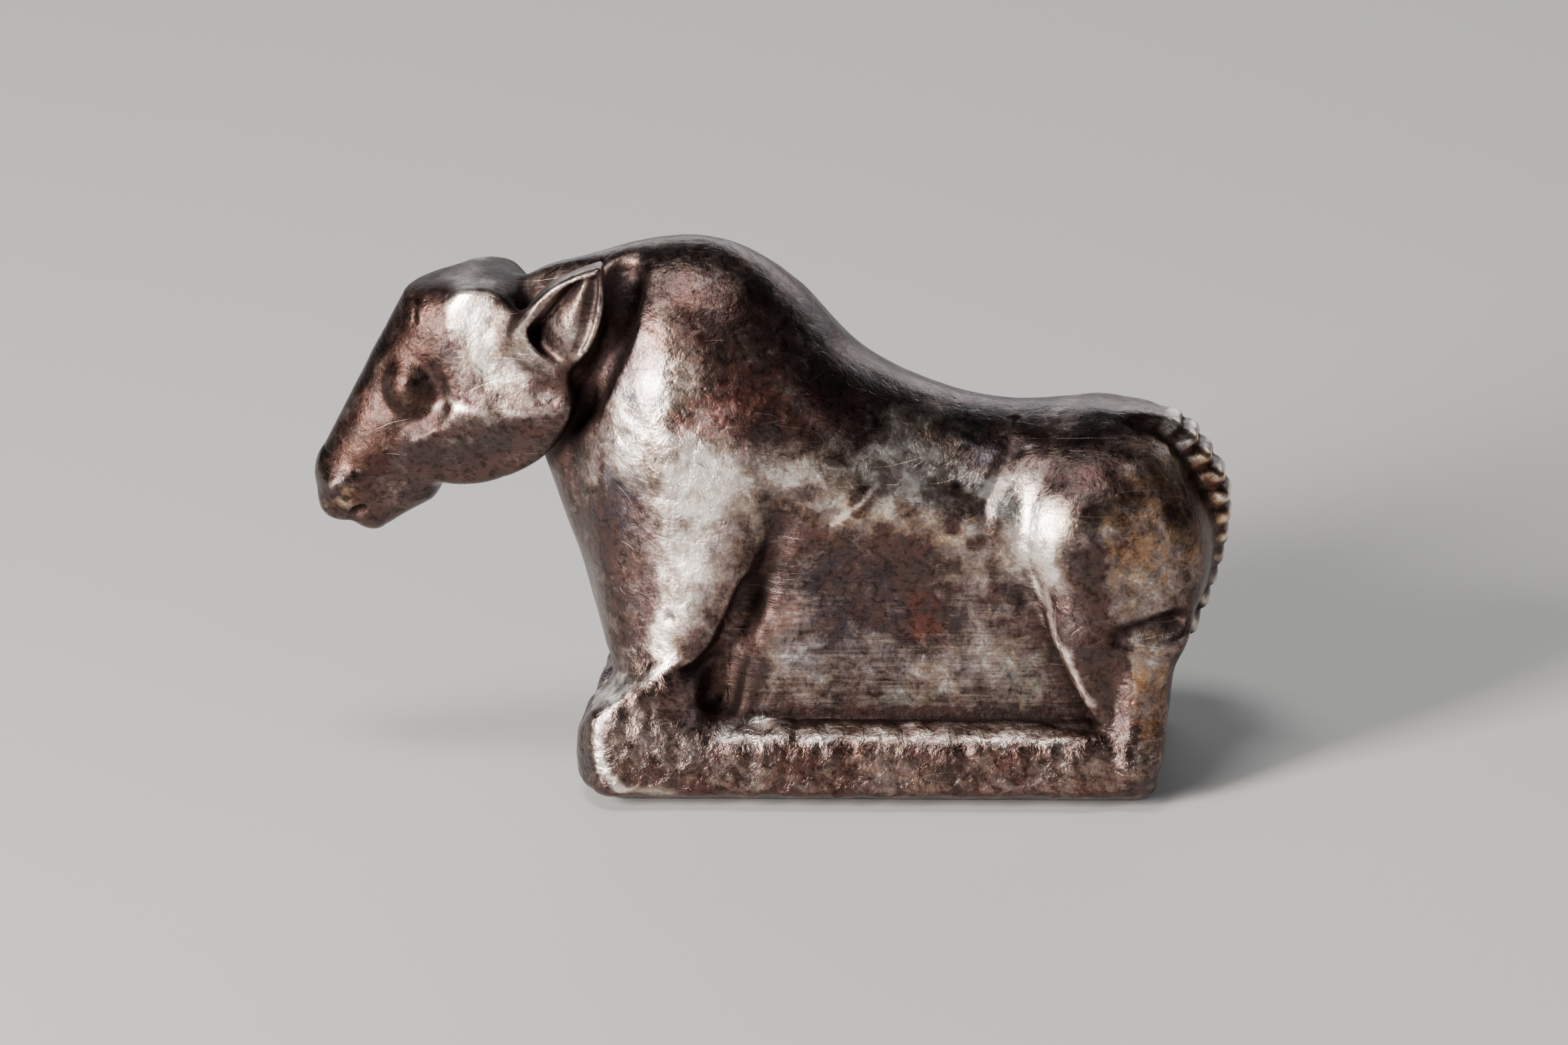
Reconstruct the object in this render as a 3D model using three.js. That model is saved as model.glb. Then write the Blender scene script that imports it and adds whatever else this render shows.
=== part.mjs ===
// A kneeling humped bull, cast in silver in one piece with the low bar that it kneels on.
// Millimetres, +Z up. The head points to -X and the left flank to -Y, and the origin is the
// middle of the flat underside. The figure is one rounded body, so it is described by a field,
// negative in the metal and positive outside, that joins and cuts soft forms. The surface where
// the field is zero is meshed on a grid, and then thinned to the triangles that its shape needs.
import * as THREE from "three";

// Driving dimensions
const HALF_WIDTH = 11.5; // of the bar, and of the knees and feet that are flush with it
const BAR = { front: -21.6, rear: 21.0, top: 6.4 };
const UNDERSIDE = { halfLength: 19.2, halfWidth: 8.5, slope: 0.47 }; // flat part, then it lifts
const WALL_HALF = 8.3; // half the thickness of the plain wall between the legs
const ARM_HALF = 10.7;
const THIGH_HALF = 10.8;
const POLL_HEIGHT = 38.75; // where the head is cut off flat
const RIGHT_KNEE_BACK = 2; // the right knee is this far behind the left one
const EAR = { x: -23.8, z: 35.0, side: 6.0, lean: 56 }; // middle of its base, and degrees that it rises
const TAIL = { centreX: 15.7, centreZ: 19.0, half: 2.1, end: 9.4, scallopEvery: 9.5 }; // degrees
const CELL = 0.7; // grid step of the first mesh
const TRIANGLES = 9600; // after thinning

// Outlines as pairs: heights over x, or places along x over a height
const BACK_LINE = [[-28, 37.6], [-26, 38.6], [-23.8, 39.4], [-20.5, 40.2], [-17.5, 41.0], [-13, 41.4],
  [-9.2, 40.3], [-5.8, 37.7], [-1.6, 33.1], [2.5, 30.4], [8, 28.6], [14.2, 28.1], [16.5, 28.4], [20.6, 28.2],
  [25, 24.6]];
const HALF_WIDTHS = [[-28, 3.4], [-24.5, 4.0], [-21.5, 5.2], [-18.5, 7.7], [-14, 9.9], [8, 9.7], [22, 8.8]];
const SHOULDER_DROP = [[-28, 9], [-20, 13], [-12, 17], [-4, 12.5], [4, 10], [24, 10]];
const MUZZLE_HALF = [[-43, 2.0], [-39.5, 3.3], [-36, 4.2], [-32.5, 5.4], [-22, 6.5]];
const BREAST_LINE = [[6, -18.4], [9, -20.0], [12, -21.3], [17.5, -22.9], [24.5, -25.3], [28, -26.6],
  [40, -30.5]];
const RUMP_LINE = [[0, 20.4], [9, 21.0], [14.5, 23.8], [18, 25.0], [21.5, 25.3], [24.5, 24.4], [30, 19]];
const ARM_LINE = [[8, -16.5], [10.6, -15.1], [11.6, -12.9], [13.4, -11.3], [17, -9.3], [20.7, -7.9],
  [26, -6.0], [31, -4.5]];
const THIGH_LINE = [[5, 17.2], [8, 15.6], [12, 13.8], [16, 11.7], [18.6, 9.8], [21.5, 8.6], [24.2, 9.1],
  [26.5, 10.5], [30, 13.8]];

// The groove in the neck behind the head: its place along x, and out from the middle, over the height
const GROOVE_LINE = [[27, -23.3], [29.7, -21.7], [32.3, -20.4], [35.9, -18.9], [39.5, -18.2]];
const GROOVE_SIDE = [[27, 4.4], [29.7, 5.0], [32.3, 5.5], [35.9, 5.3], [39.5, 3.3]];

// How far the tail reaches from its centre, over the angle that it has turned from +X
const TAIL_REACH = [[-56, 11.2], [-45, 11.1], [-36, 10.5], [-20, 9.95], [-3, 10.15], [18, 10.75], [33, 10.65],
  [50, 10.7], [62, 10.2], [76, 8.9]];

// The smaller of two fields, with the corner between them filled over a width.
function join(a, b, width) {
  const h = Math.max(width - Math.abs(a - b), 0) / width;
  return Math.min(a, b) - h * h * width * 0.25;
}

// The larger of two fields, with the edge between them rounded over a width.
function meet(a, b, width) {
  return -join(-a, -b, width);
}

function cut(body, tool, width) {
  return meet(body, -tool, width);
}

// From 0 to 1 as t goes from one value to another, which may be the lower one.
function smoothStep(from, to, t) {
  const s = THREE.MathUtils.clamp((t - from) / (to - from), 0, 1);
  return s * s * (3 - 2 * s);
}

// A smooth line through a few points, flat beyond its ends.
function through(points, t) {
  const last = points.length - 1;
  if (t <= points[0][0]) return points[0][1];
  if (t >= points[last][0]) return points[last][1];
  let i = 0;
  while (t > points[i + 1][0]) i += 1;
  const slope = (k) => {
    const [from, to] = [points[Math.max(k - 1, 0)], points[Math.min(k + 1, last)]];
    return (to[1] - from[1]) / (to[0] - from[0]);
  };
  const span = points[i + 1][0] - points[i][0];
  const s = (t - points[i][0]) / span;
  const start = (1 + 2 * s) * (1 - s) * (1 - s) * points[i][1] + s * (1 - s) * (1 - s) * span * slope(i);
  const end = s * s * (3 - 2 * s) * points[i + 1][1] + s * s * (s - 1) * span * slope(i + 1);
  return start + end;
}

// Offsets from a point of the side view, the first along a line that rises so many degrees to +X.
function turned(x, z, centreX, centreZ, degrees) {
  const angle = THREE.MathUtils.degToRad(degrees);
  const [dx, dz] = [x - centreX, z - centreZ];
  return [Math.cos(angle) * dx + Math.sin(angle) * dz, -Math.sin(angle) * dx + Math.cos(angle) * dz];
}

function ellipsoid(x, y, z, centre, radii, degrees = 0) {
  const [u, w] = turned(x, z, centre[0], centre[2], degrees);
  const v = y - centre[1];
  const near = Math.hypot(u / radii[0], v / radii[1], w / radii[2]) + 1e-9;
  const steep = Math.hypot(u / radii[0] ** 2, v / radii[1] ** 2, w / radii[2] ** 2) + 1e-9;
  return (near * (near - 1)) / steep;
}

// A round tapered limb between two points, squeezed across when flat is under 1.
function limb(x, y, z, from, to, startRadius, endRadius, flat = 1) {
  const [bx, by, bz] = [to[0] - from[0], (to[1] - from[1]) / flat, to[2] - from[2]];
  const [px, py, pz] = [x - from[0], (y - from[1]) / flat, z - from[2]];
  const along = (px * bx + py * by + pz * bz) / (bx * bx + by * by + bz * bz);
  const t = THREE.MathUtils.clamp(along, 0, 1);
  const away = Math.hypot(px - bx * t, py - by * t, pz - bz * t);
  return (away - startRadius - (endRadius - startRadius) * t) * flat;
}

// Neck, hump, back and rump: an arch under the back line, rounded off at the breast and the rump.
function trunk(x, side, z) {
  const half = through(HALF_WIDTHS, x);
  const drop = through(SHOULDER_DROP, x);
  const u = side / half + 1e-6;
  const w = Math.max(z - through(BACK_LINE, x) + drop, 0) / drop;
  const near = Math.hypot(u, w);
  const arch = (near * (near - 1)) / Math.hypot(u / half, w / drop);
  const besideArm = smoothStep(2.4, 0, Math.abs(x - through(ARM_LINE, z) - 0.9)) * smoothStep(28, 22, z);
  const flank = side - WALL_HALF - 1.8 * smoothStep(15, 26, z) + 0.7 * besideArm;
  const breast = (through(BREAST_LINE, z) - x) * 0.95;
  const rump = (x - through(RUMP_LINE, z)) * 0.92;
  return meet(meet(meet(arch, flank, 2), breast, 6), rump, 6);
}

// Shoulder and upper leg: flat outside, with a sharp rear edge over the wall.
function arm(x, side, z) {
  const upper = limb(x, side, z, [-12.2, 2.0, 25.5], [-13.4, 3.6, 9.0], 9.4, 7.2);
  const turnedFace = 0.94 * (side - ARM_HALF) - 0.33 * (x + 12.5) + 0.15 * (z - 17);
  let column = meet(meet(upper, side - ARM_HALF, 2.5), turnedFace, 1.5);
  column = meet(column, (through(BREAST_LINE, z) - x) * 0.95, 3);
  return meet(column, (x - through(ARM_LINE, z)) * 0.85, 1.2);
}

// The plane that falls away from the front edge of the arm to the middle of the breast.
function chestPlane(x, side, z) {
  return 0.6 * (-x - 15.2) + 0.8 * (side - ARM_HALF) - 6 * smoothStep(24, 32, z);
}

// The folded knee in front, whose side fades back into the wall.
function knee(x, side, z, setBack) {
  const slope = -0.56 * (x + 18.2 - setBack) + 0.83 * (z - 9.3);
  const beyond = (x + 14.5 + Math.hypot(x + 14.5, 2)) / 2;
  const lean = 0.012 * Math.max(z - 2, 0) ** 2 + beyond * (0.06 + 0.6 * smoothStep(4.5, 8, z));
  const corner = 0.8 * (-x - 20.7 + setBack) + 0.6 * (side - HALF_WIDTH + 0.4);
  let form = meet(-x - 22.5 + setBack, slope, 2.2);
  form = meet(form, x + 8, 3);
  form = meet(form, (side - HALF_WIDTH + lean) / 1.15, 0.9);
  form = meet(form, z - 10.9, 2);
  form = meet(form, 2.6 - side, 2.5);
  return meet(form, corner, 0.8);
}

// Haunch and the flat of the leg under it, up to the sharp front edge of the thigh.
function thigh(x, side, z) {
  const oval = (Math.hypot((x - 14.5) / 12.5, (z - 17.2) / 9.4) - 1) * 9.4;
  const flat = meet(x - 18.6 - 2.4 * smoothStep(8.5, 5.5, z), z - 20, 1);
  const outline = meet(join(oval, flat, 1.5), x - 25, 6);
  const hollow = 0.22 * Math.max(x - 14.5, 0) * smoothStep(14, 10, z);
  const half = THIGH_HALF + (HALF_WIDTH - THIGH_HALF) * smoothStep(9, 4, z) - hollow;
  const rear = (side - THIGH_HALF + 0.26 * (x - 17.2) * smoothStep(11, 15, z)) * 0.95;
  const leg = meet(meet(outline, side - half, 1.4 + 5.1 * smoothStep(11, 20, z)), rear, 0.8);
  const edge = through(THIGH_LINE, z);
  const behind = edge + 1.4 + 3.6 * smoothStep(13, 19, z) - x;
  const bulge = 0.9 * (side - THIGH_HALF) + 0.34 * behind + 0.2 * (z - 21);
  return meet(meet(leg, bulge, 1), (edge - x) * 0.85, 1.8 + 4.4 * smoothStep(11, 18, z));
}

// The lower hind leg, a round post under the fold of the thigh, with its hoof.
function hock(x, side, z) {
  const post = limb(x, side, z, [19.9, 7.6, 12.4], [19.6, 9.4, 4.0], 2.6, 1.9);
  const hoof = ellipsoid(x, side, z, [19.4, 10.0, 3.4], [1.6, 1.7, 1.6]);
  return join(post, hoof, 0.6);
}

// The bar, a little slimmer at its ends, where the knees and feet stand out to its full width.
function bar(x, side, z) {
  const ends = smoothStep(-10, -13, x) + smoothStep(15.5, 18, x);
  const top = z - BAR.top + 0.12 * (side - WALL_HALF);
  const length = meet(side - HALF_WIDTH + 0.4 * ends, top, 1.8);
  return meet(meet(length, x - BAR.rear, 2.4), BAR.front - x, 2);
}

// The skull is a flattened wedge with flat temples, a jaw that falls away under a long ridge, and
// a poll that is cut off flat where the horns were.
function head(x, side, z) {
  const skull = limb(x, side, z, [-30.2, 0, 33.6], [-38.9, 0, 23.0], 6.1, 3.5, 0.8);
  const lip = limb(x, side, z, [-40.3, 1.2, 21.2], [-39.6, 1.6, 22.2], 1.6, 2.0);
  const chin = limb(x, side, z, [-38.1, 0, 19.9], [-35.0, 0, 22.6], 1.4, 2.2);

  const temple = side - 4.7 - 0.17 * (x + 32) + 0.15 * (z - 34);
  const ridge = 29.0 + 0.85 * Math.min(x + 32.5, 0);
  const jaw = (side - through(MUZZLE_HALF, x) - 0.5 * (z - ridge)) / 1.12;
  const under = (20.9 + 0.255 * (x + 34.8) - z) / 1.03;
  const behind = Math.hypot(x + 31.5, (z - 33) * 0.95) - 9.8;
  const ahead = (-x - 33.5 + 0.35 * (z - 30)) / 1.06;
  const nape = (x + 26.9 + 0.75 * (z - 38)) / 1.25;
  const cheek = meet(meet(meet(temple, under, 1.6), meet(behind, ahead, 1), 1), nape, 1);

  const face = (side - 4.6 - 0.42 * (x + 32.3) - 0.5 * Math.max(30 - z, 0)) * 0.9;
  let form = meet(meet(join(join(skull, lip, 0.8), cheek, 1.5), temple, 0.8), face, 0.5);
  form = join(meet(form, jaw, 0.7), chin, 0.9);
  form = meet(form, z - POLL_HEIGHT + 0.03 * (x + 29.3) ** 2, 0.6);
  form = cut(form, ellipsoid(x, side, z, [-29.0, 8.6, 25.2], [6.5, 4.6, 2.6], 12), 0.8);
  form = cut(form, limb(x, side, z, [-38.5, 1.6, 21.4], [-39.9, 2.4, 18.9], 0.25, 1.0), 0.3);
  form = cut(form, ellipsoid(x, side, z, [-39.75, 3.0, 21.6], [0.3, 0.7, 0.4], 30), 0.3);
  form = cut(form, ellipsoid(x, side, z, [-34.4, 4.9, 30.4], [2.7, 1.2, 2.9]), 1.0);
  form = join(form, ellipsoid(x, side, z, [-34.3, 2.9, 30.7], [1.9, 1.7, 2.2]), 0.7);
  return cut(form, ellipsoid(x, side, z, [-33.5, 5.1, 29.7], [0.9, 0.8, 0.7]), 0.6);
}

// The deep groove in the neck, behind the jaw on both sides and behind the left ear.
function neckGroove(x, y, z) {
  const radius = 1.6 - (y > 0 ? 1.3 * smoothStep(31, 34, z) : 0) - 0.5 * smoothStep(30, 27, z);
  return Math.hypot(x - through(GROOVE_LINE, z), Math.abs(y) - through(GROOVE_SIDE, z) - 0.3) - radius;
}

// The left ear, the only one that is left: a pointed leaf that leans back, and the cup in it. The
// cup's floor slopes from a rib down into a groove along its front, with a shallow valley behind
// the rib. u runs to the tip, w to the front rim, and v out of the head.
function ear(x, y, z) {
  const [u, w] = turned(x, z, EAR.x, EAR.z, EAR.lean);
  const v = -y - EAR.side;
  const half = 2.7 - 2.7 * (Math.max(u - 2, 0) / 5.6) ** 2;
  const outline = meet(Math.abs(w) - half, -u - 1.6, 2.4) * 0.8;
  const front = 1.2 - 1.1 * smoothStep(2.6, -1.6, u);
  const leaf = meet(meet(outline, v - front, 0.6), -v - 1.2, 0.6);

  const rib = -1.94 + 0.353 * u;
  const groove = 1.3 - 0.1 * u;
  const across = Math.max(groove - rib, 0.3);
  const slope = THREE.MathUtils.clamp((w - rib) / across, 0, 1) ** 1.9 * smoothStep(0.9, 0, w - groove);
  const valley = Math.sin(Math.PI * THREE.MathUtils.clamp((rib - w) / 1.5, 0, 1)) * smoothStep(0.2, 1.4, u);
  const depth = 0.1 + (0.35 + 0.45 * across) * slope * smoothStep(-1.2, 0.1, u) + 0.42 * valley;
  const margin = meet(Math.abs(w + 0.12) - half, -u - 1.1, 2.4) * 0.8 + 0.36;
  return [leaf, meet(margin, (front - depth - v) * 0.7, 0.3)];
}

// The tail lies down the middle of the rump as a raised strip with scalloped edges.
function tail(x, side, z) {
  const around = THREE.MathUtils.radToDeg(Math.atan2(z - TAIL.centreZ, x - TAIL.centreX));
  const reach = Math.hypot(z - TAIL.centreZ, x - TAIL.centreX);
  const turns = (around + 3 * (reach - 11)) / TAIL.scallopEvery;
  const wave = Math.abs(Math.sin(Math.PI * turns + 0.15 * side)) ** 0.8 * smoothStep(60, 45, around);
  const back = (reach - through(TAIL_REACH, around) - 0.45 * wave) * 0.85;
  const strip = meet(meet(back, side - TAIL.half - 0.2 * wave, 1.3), TAIL.end - z, 0.6);
  return meet(meet(strip, 7 - reach, 0.5), 17 - x, 0.5);
}

function bull(x, y, z) {
  const side = Math.abs(y);
  let form = meet(join(trunk(x, side, z), arm(x, side, z), 1.2), chestPlane(x, side, z), 1.8);
  form = join(form, knee(x, side, z, y < 0 ? 0 : RIGHT_KNEE_BACK), 1.6);
  const rearBlend = 1.8 * smoothStep(18, 22, x) * smoothStep(13, 16, z);
  form = join(form, thigh(x, side, z), 0.4 + 3 * smoothStep(23, 28, z) + rearBlend);
  form = join(form, bar(x, side, z), 0.2);
  form = cut(form, limb(x, side, z, [-9.3, 8.4, 17.0], [-11.6, 8.7, 8.2], 0.7, 1.3), 1.4);
  form = cut(form, limb(x, side, z, [17.4, 11.0, 13.4], [22.6, 9.6, 14.6], 0.3, 0.6), 1);
  form = join(form, hock(x, side, z), 0.5);
  form = cut(form, neckGroove(x, y, z), 0.8);
  form = join(form, head(x, side, z), 0.8);
  const [leaf, cup] = ear(x, y, z);
  form = cut(join(form, leaf, 1.5), cup, 0.25);
  form = join(form, tail(x, side, z), 1);
  const beyondSide = Math.max(side - UNDERSIDE.halfWidth, 0);
  const beyondEnd = Math.max(Math.abs(x) - UNDERSIDE.halfLength, 0);
  return meet(form, UNDERSIDE.slope * Math.hypot(beyondSide, beyondEnd) - z, 0.8);
}

// The surface where a field is zero, by marching tetrahedra: always closed, with shared vertices.
function meshOf(field, low, high, cell) {
  const count = low.map((from, i) => Math.ceil((high[i] - from) / cell) + 1);
  const at = (i, j, k) => (k * count[1] + j) * count[0] + i;
  const value = new Float64Array(count[0] * count[1] * count[2]);
  for (let k = 0; k < count[2]; k += 1)
    for (let j = 0; j < count[1]; j += 1)
      for (let i = 0; i < count[0]; i += 1)
        value[at(i, j, k)] = field(low[0] + i * cell, low[1] + j * cell, low[2] + k * cell) || 1e-9;

  const place = (n) => {
    const i = n % count[0];
    const j = Math.floor(n / count[0]) % count[1];
    const k = Math.floor(n / (count[0] * count[1]));
    return [low[0] + i * cell, low[1] + j * cell, low[2] + k * cell];
  };
  const points = [];
  const known = new Map();
  const crossing = (a, b) => {
    const key = a < b ? a * value.length + b : b * value.length + a;
    if (!known.has(key)) {
      const t = THREE.MathUtils.clamp(value[a] / (value[a] - value[b]), 0.05, 0.95);
      const [from, to] = [place(a), place(b)];
      known.set(key, points.push(from.map((c, n) => c + (to[n] - c) * t)) - 1);
    }
    return known.get(key);
  };

  const triangles = [];
  const addTriangle = (corners, outer) => {
    const [a, b, c] = corners.map((n) => points[n]);
    const ab = b.map((v, n) => v - a[n]);
    const ac = c.map((v, n) => v - a[n]);
    const out = outer.map((v, n) => v - a[n]);
    const cross = (n, m) => ab[n] * ac[m] - ab[m] * ac[n];
    const facing = cross(1, 2) * out[0] + cross(2, 0) * out[1] + cross(0, 1) * out[2];
    triangles.push(facing > 0 ? corners : [corners[0], corners[2], corners[1]]);
  };
  // Six tetrahedra round the diagonal of a cell, each a walk from its first corner to its last
  const walks = [[1, 3], [1, 5], [2, 3], [2, 6], [4, 5], [4, 6]];
  for (let k = 0; k + 1 < count[2]; k += 1)
    for (let j = 0; j + 1 < count[1]; j += 1)
      for (let i = 0; i + 1 < count[0]; i += 1)
        for (const [first, second] of walks) {
          const corners = [0, first, second, 7].map((c) => at(i + (c & 1), j + ((c >> 1) & 1), k + (c >> 2)));
          const inner = corners.filter((c) => value[c] < 0);
          const outer = corners.filter((c) => value[c] >= 0);
          if (inner.length === 1) addTriangle(outer.map((c) => crossing(inner[0], c)), place(outer[0]));
          if (inner.length === 3) addTriangle(inner.map((c) => crossing(c, outer[0])), place(outer[0]));
          if (inner.length === 2) {
            const [p, q] = inner;
            const [r, s] = outer;
            addTriangle([crossing(p, r), crossing(p, s), crossing(q, s)], place(s));
            addTriangle([crossing(p, r), crossing(q, s), crossing(q, r)], place(r));
          }
        }
  return { points, triangles };
}

// Moves each point along the field's slope onto the true surface.
function settle(field, points, reach) {
  const step = 0.02;
  for (const p of points)
    for (let round = 0; round < 3; round += 1) {
      const slope = [0, 1, 2].map((n) => {
        const [before, after] = [[...p], [...p]];
        before[n] -= step;
        after[n] += step;
        return (field(...after) - field(...before)) / (2 * step);
      });
      const steep = slope[0] ** 2 + slope[1] ** 2 + slope[2] ** 2 + 1e-6;
      const move = THREE.MathUtils.clamp(field(...p) / steep, -reach, reach);
      for (let n = 0; n < 3; n += 1) p[n] -= slope[n] * move;
      if (Math.abs(p[2]) < 1e-3) p[2] = 0;
    }
}

// Thins a closed mesh by collapsing the edges that change its planes least. The body stays closed,
// because an edge goes only where its ends share exactly two neighbours, and no face may turn over.
function thin({ points, triangles }, target) {
  const planes = points.map(() => new Float64Array(10));
  const faces = points.map(() => new Set());
  const stamp = new Uint32Array(points.length);
  const normal = (a, b, c) => {
    const [ux, uy, uz] = [b[0] - a[0], b[1] - a[1], b[2] - a[2]];
    const [vx, vy, vz] = [c[0] - a[0], c[1] - a[1], c[2] - a[2]];
    return [uy * vz - uz * vy, uz * vx - ux * vz, ux * vy - uy * vx];
  };
  triangles.forEach((corners, f) => {
    const n = normal(...corners.map((c) => points[c]));
    const size = Math.hypot(...n) || 1e-12;
    const [a, b, c] = n.map((v) => v / size);
    const [x, y, z] = points[corners[0]];
    const d = -(a * x + b * y + c * z);
    const terms = [a * a, a * b, a * c, a * d, b * b, b * c, b * d, c * c, c * d, d * d];
    for (const corner of corners) {
      faces[corner].add(f);
      terms.forEach((term, i) => (planes[corner][i] += term * size));
    }
  });
  const cost = (q, [x, y, z]) =>
    q[0] * x * x + 2 * q[1] * x * y + 2 * q[2] * x * z + 2 * q[3] * x + q[4] * y * y +
    2 * q[5] * y * z + 2 * q[6] * y + q[7] * z * z + 2 * q[8] * z + q[9];
  const best = (a, b) => {
    const q = planes[a].map((v, i) => v + planes[b][i]);
    const middle = points[a].map((v, i) => (v + points[b][i]) / 2);
    const matrix = new THREE.Matrix3().set(q[0], q[1], q[2], q[1], q[4], q[5], q[2], q[5], q[7]);
    const choices = [middle, points[a], points[b]];
    const span = Math.hypot(...points[a].map((v, i) => v - points[b][i]));
    if (Math.abs(matrix.determinant()) > 1e-6) {
      const ideal = new THREE.Vector3(-q[3], -q[6], -q[8]).applyMatrix3(matrix.invert()).toArray();
      if (Math.hypot(...ideal.map((v, i) => v - middle[i])) < span) choices.push(ideal);
    }
    const scored = choices.map((place) => ({ place, price: cost(q, place) }));
    const winner = scored.reduce((x, y) => (y.price < x.price ? y : x));
    const price = winner.price + 1e-4 * span * span;
    return { a, b, place: [...winner.place], price, age: stamp[a] + stamp[b] };
  };

  const heap = [];
  const push = (item) => {
    let i = heap.push(item) - 1;
    for (let up = (i - 1) >> 1; i > 0 && heap[up].price > heap[i].price; up = (i - 1) >> 1) {
      [heap[i], heap[up]] = [heap[up], heap[i]];
      i = up;
    }
  };
  const pop = () => {
    const top = heap[0];
    const last = heap.pop();
    if (heap.length) heap[0] = last;
    for (let i = 0; ; ) {
      let least = i;
      for (const child of [2 * i + 1, 2 * i + 2])
        if (child < heap.length && heap[child].price < heap[least].price) least = child;
      if (least === i) return top;
      [heap[i], heap[least]] = [heap[least], heap[i]];
      i = least;
    }
  };
  const neighbours = (v) => new Set([...faces[v]].flatMap((f) => triangles[f]).filter((c) => c !== v));
  points.forEach((_, a) => {
    for (const b of neighbours(a)) if (a < b) push(best(a, b));
  });

  let left = triangles.length;
  while (left > target && heap.length) {
    const { a, b, place, age } = pop();
    if (!faces[a].size || !faces[b].size || age !== stamp[a] + stamp[b]) continue;
    const around = neighbours(b);
    if (!around.has(a)) continue;
    const shared = [...neighbours(a)].filter((v) => around.has(v));
    const gone = [...faces[a]].filter((f) => faces[b].has(f));
    if (shared.length !== 2 || gone.length !== 2) continue;
    const flips = [...faces[a], ...faces[b]].some((f) => {
      if (gone.includes(f)) return false;
      const before = triangles[f].map((c) => points[c]);
      const after = triangles[f].map((c) => (c === a || c === b ? place : points[c]));
      const [m, n] = [normal(...before), normal(...after)];
      const turn = m[0] * n[0] + m[1] * n[1] + m[2] * n[2];
      return turn < 0.3 * Math.hypot(...m) * Math.hypot(...n) || Math.hypot(...n) < 1e-4;
    });
    if (flips) continue;
    for (const f of gone) for (const c of triangles[f]) faces[c].delete(f);
    for (const f of faces[b]) {
      triangles[f] = triangles[f].map((c) => (c === b ? a : c));
      faces[a].add(f);
    }
    faces[b].clear();
    planes[b].forEach((v, i) => (planes[a][i] += v));
    points[a] = place;
    stamp[a] += stamp[b] + 1;
    left -= 2;
    for (const v of neighbours(a)) push(best(Math.min(a, v), Math.max(a, v)));
  }
  const kept = new Set(faces.flatMap((set) => [...set]));
  return { points, triangles: triangles.filter((_, f) => kept.has(f)) };
}

function geometryOf({ points, triangles }) {
  const order = new Map();
  for (const corner of triangles.flat()) if (!order.has(corner)) order.set(corner, order.size);
  const positions = [...order.keys()].flatMap((corner) => points[corner]);
  const geometry = new THREE.BufferGeometry();
  geometry.setAttribute("position", new THREE.Float32BufferAttribute(positions, 3));
  geometry.setIndex(triangles.flat().map((corner) => order.get(corner)));
  geometry.computeVertexNormals();
  return geometry;
}

const LOW = [-44.03, -12.81, -0.61];
const HIGH = [28.5, 12.9, 43.2];
const rough = meshOf(bull, LOW, HIGH, CELL);
settle(bull, rough.points, CELL / 4);
const silver = new THREE.MeshStandardMaterial({ color: 0x4a3d3a, roughness: 0.38, metalness: 0.9 });
const figure = new THREE.Mesh(geometryOf(thin(rough, TRIANGLES)), silver);
figure.name = "bull_figurine";

const root = new THREE.Group();
root.add(figure);

export default root;
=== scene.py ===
"""A kneeling humped bull in cast silver, with a brown patina that is worn bright on its high places.

The form is a field in millimetres, negative in the metal. Its surface is meshed finely, given the
marks of tools and age, and thinned. Its colour has wear, grime and stains, and also highlights and
shade painted into it. The head points to -X and the left flank to -Y.
"""
import itertools

import bpy
import numpy as np
from mathutils import Matrix, Vector


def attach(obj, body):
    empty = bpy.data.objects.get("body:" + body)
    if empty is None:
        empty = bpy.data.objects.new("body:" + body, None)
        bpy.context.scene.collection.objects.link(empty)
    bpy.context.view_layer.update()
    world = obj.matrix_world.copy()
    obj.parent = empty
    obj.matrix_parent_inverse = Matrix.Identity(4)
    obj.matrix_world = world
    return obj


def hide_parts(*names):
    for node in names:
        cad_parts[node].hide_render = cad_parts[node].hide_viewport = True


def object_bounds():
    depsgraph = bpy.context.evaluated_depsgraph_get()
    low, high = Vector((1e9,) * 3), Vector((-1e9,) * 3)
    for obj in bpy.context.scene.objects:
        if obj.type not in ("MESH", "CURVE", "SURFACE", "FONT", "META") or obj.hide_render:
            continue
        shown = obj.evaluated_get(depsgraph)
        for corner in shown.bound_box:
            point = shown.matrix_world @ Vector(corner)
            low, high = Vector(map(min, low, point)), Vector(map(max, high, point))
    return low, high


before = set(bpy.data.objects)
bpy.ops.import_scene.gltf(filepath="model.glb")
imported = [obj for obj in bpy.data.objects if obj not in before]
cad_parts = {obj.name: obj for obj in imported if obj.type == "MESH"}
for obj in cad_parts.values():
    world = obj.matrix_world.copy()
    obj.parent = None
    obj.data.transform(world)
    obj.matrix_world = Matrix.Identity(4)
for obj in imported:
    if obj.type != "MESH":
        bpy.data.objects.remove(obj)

CAD_BOX = [list(corner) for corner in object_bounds()]

# Driving sizes, in millimetres
HALF_WIDTH = 11.5  # of the bar, and of the knees and feet that are flush with it
BAR_FRONT, BAR_REAR, BAR_TOP = -21.6, 21.0, 6.4
FLAT_HALF_LENGTH, FLAT_HALF_WIDTH, LIFT_SLOPE = 19.2, 8.5, 0.47  # the underside, then it lifts
WALL_HALF = 8.3  # half the thickness of the plain wall between the legs
ARM_HALF = 10.7
THIGH_HALF = 10.8
POLL_HEIGHT = 38.75  # where the head is cut off flat
RIGHT_KNEE_BACK = 2.0  # the right knee is this far behind the left one
TAIL_X, TAIL_Z, TAIL_HALF, TAIL_END = 15.7, 19.0, 2.1, 9.4
SCALLOP_EVERY = 9.5  # degrees round the tail's centre
EAR_X, EAR_Z, EAR_SIDE, EAR_LEAN = -23.8, 35.0, 6.0, 56  # middle of its base, and degrees that it rises
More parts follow.
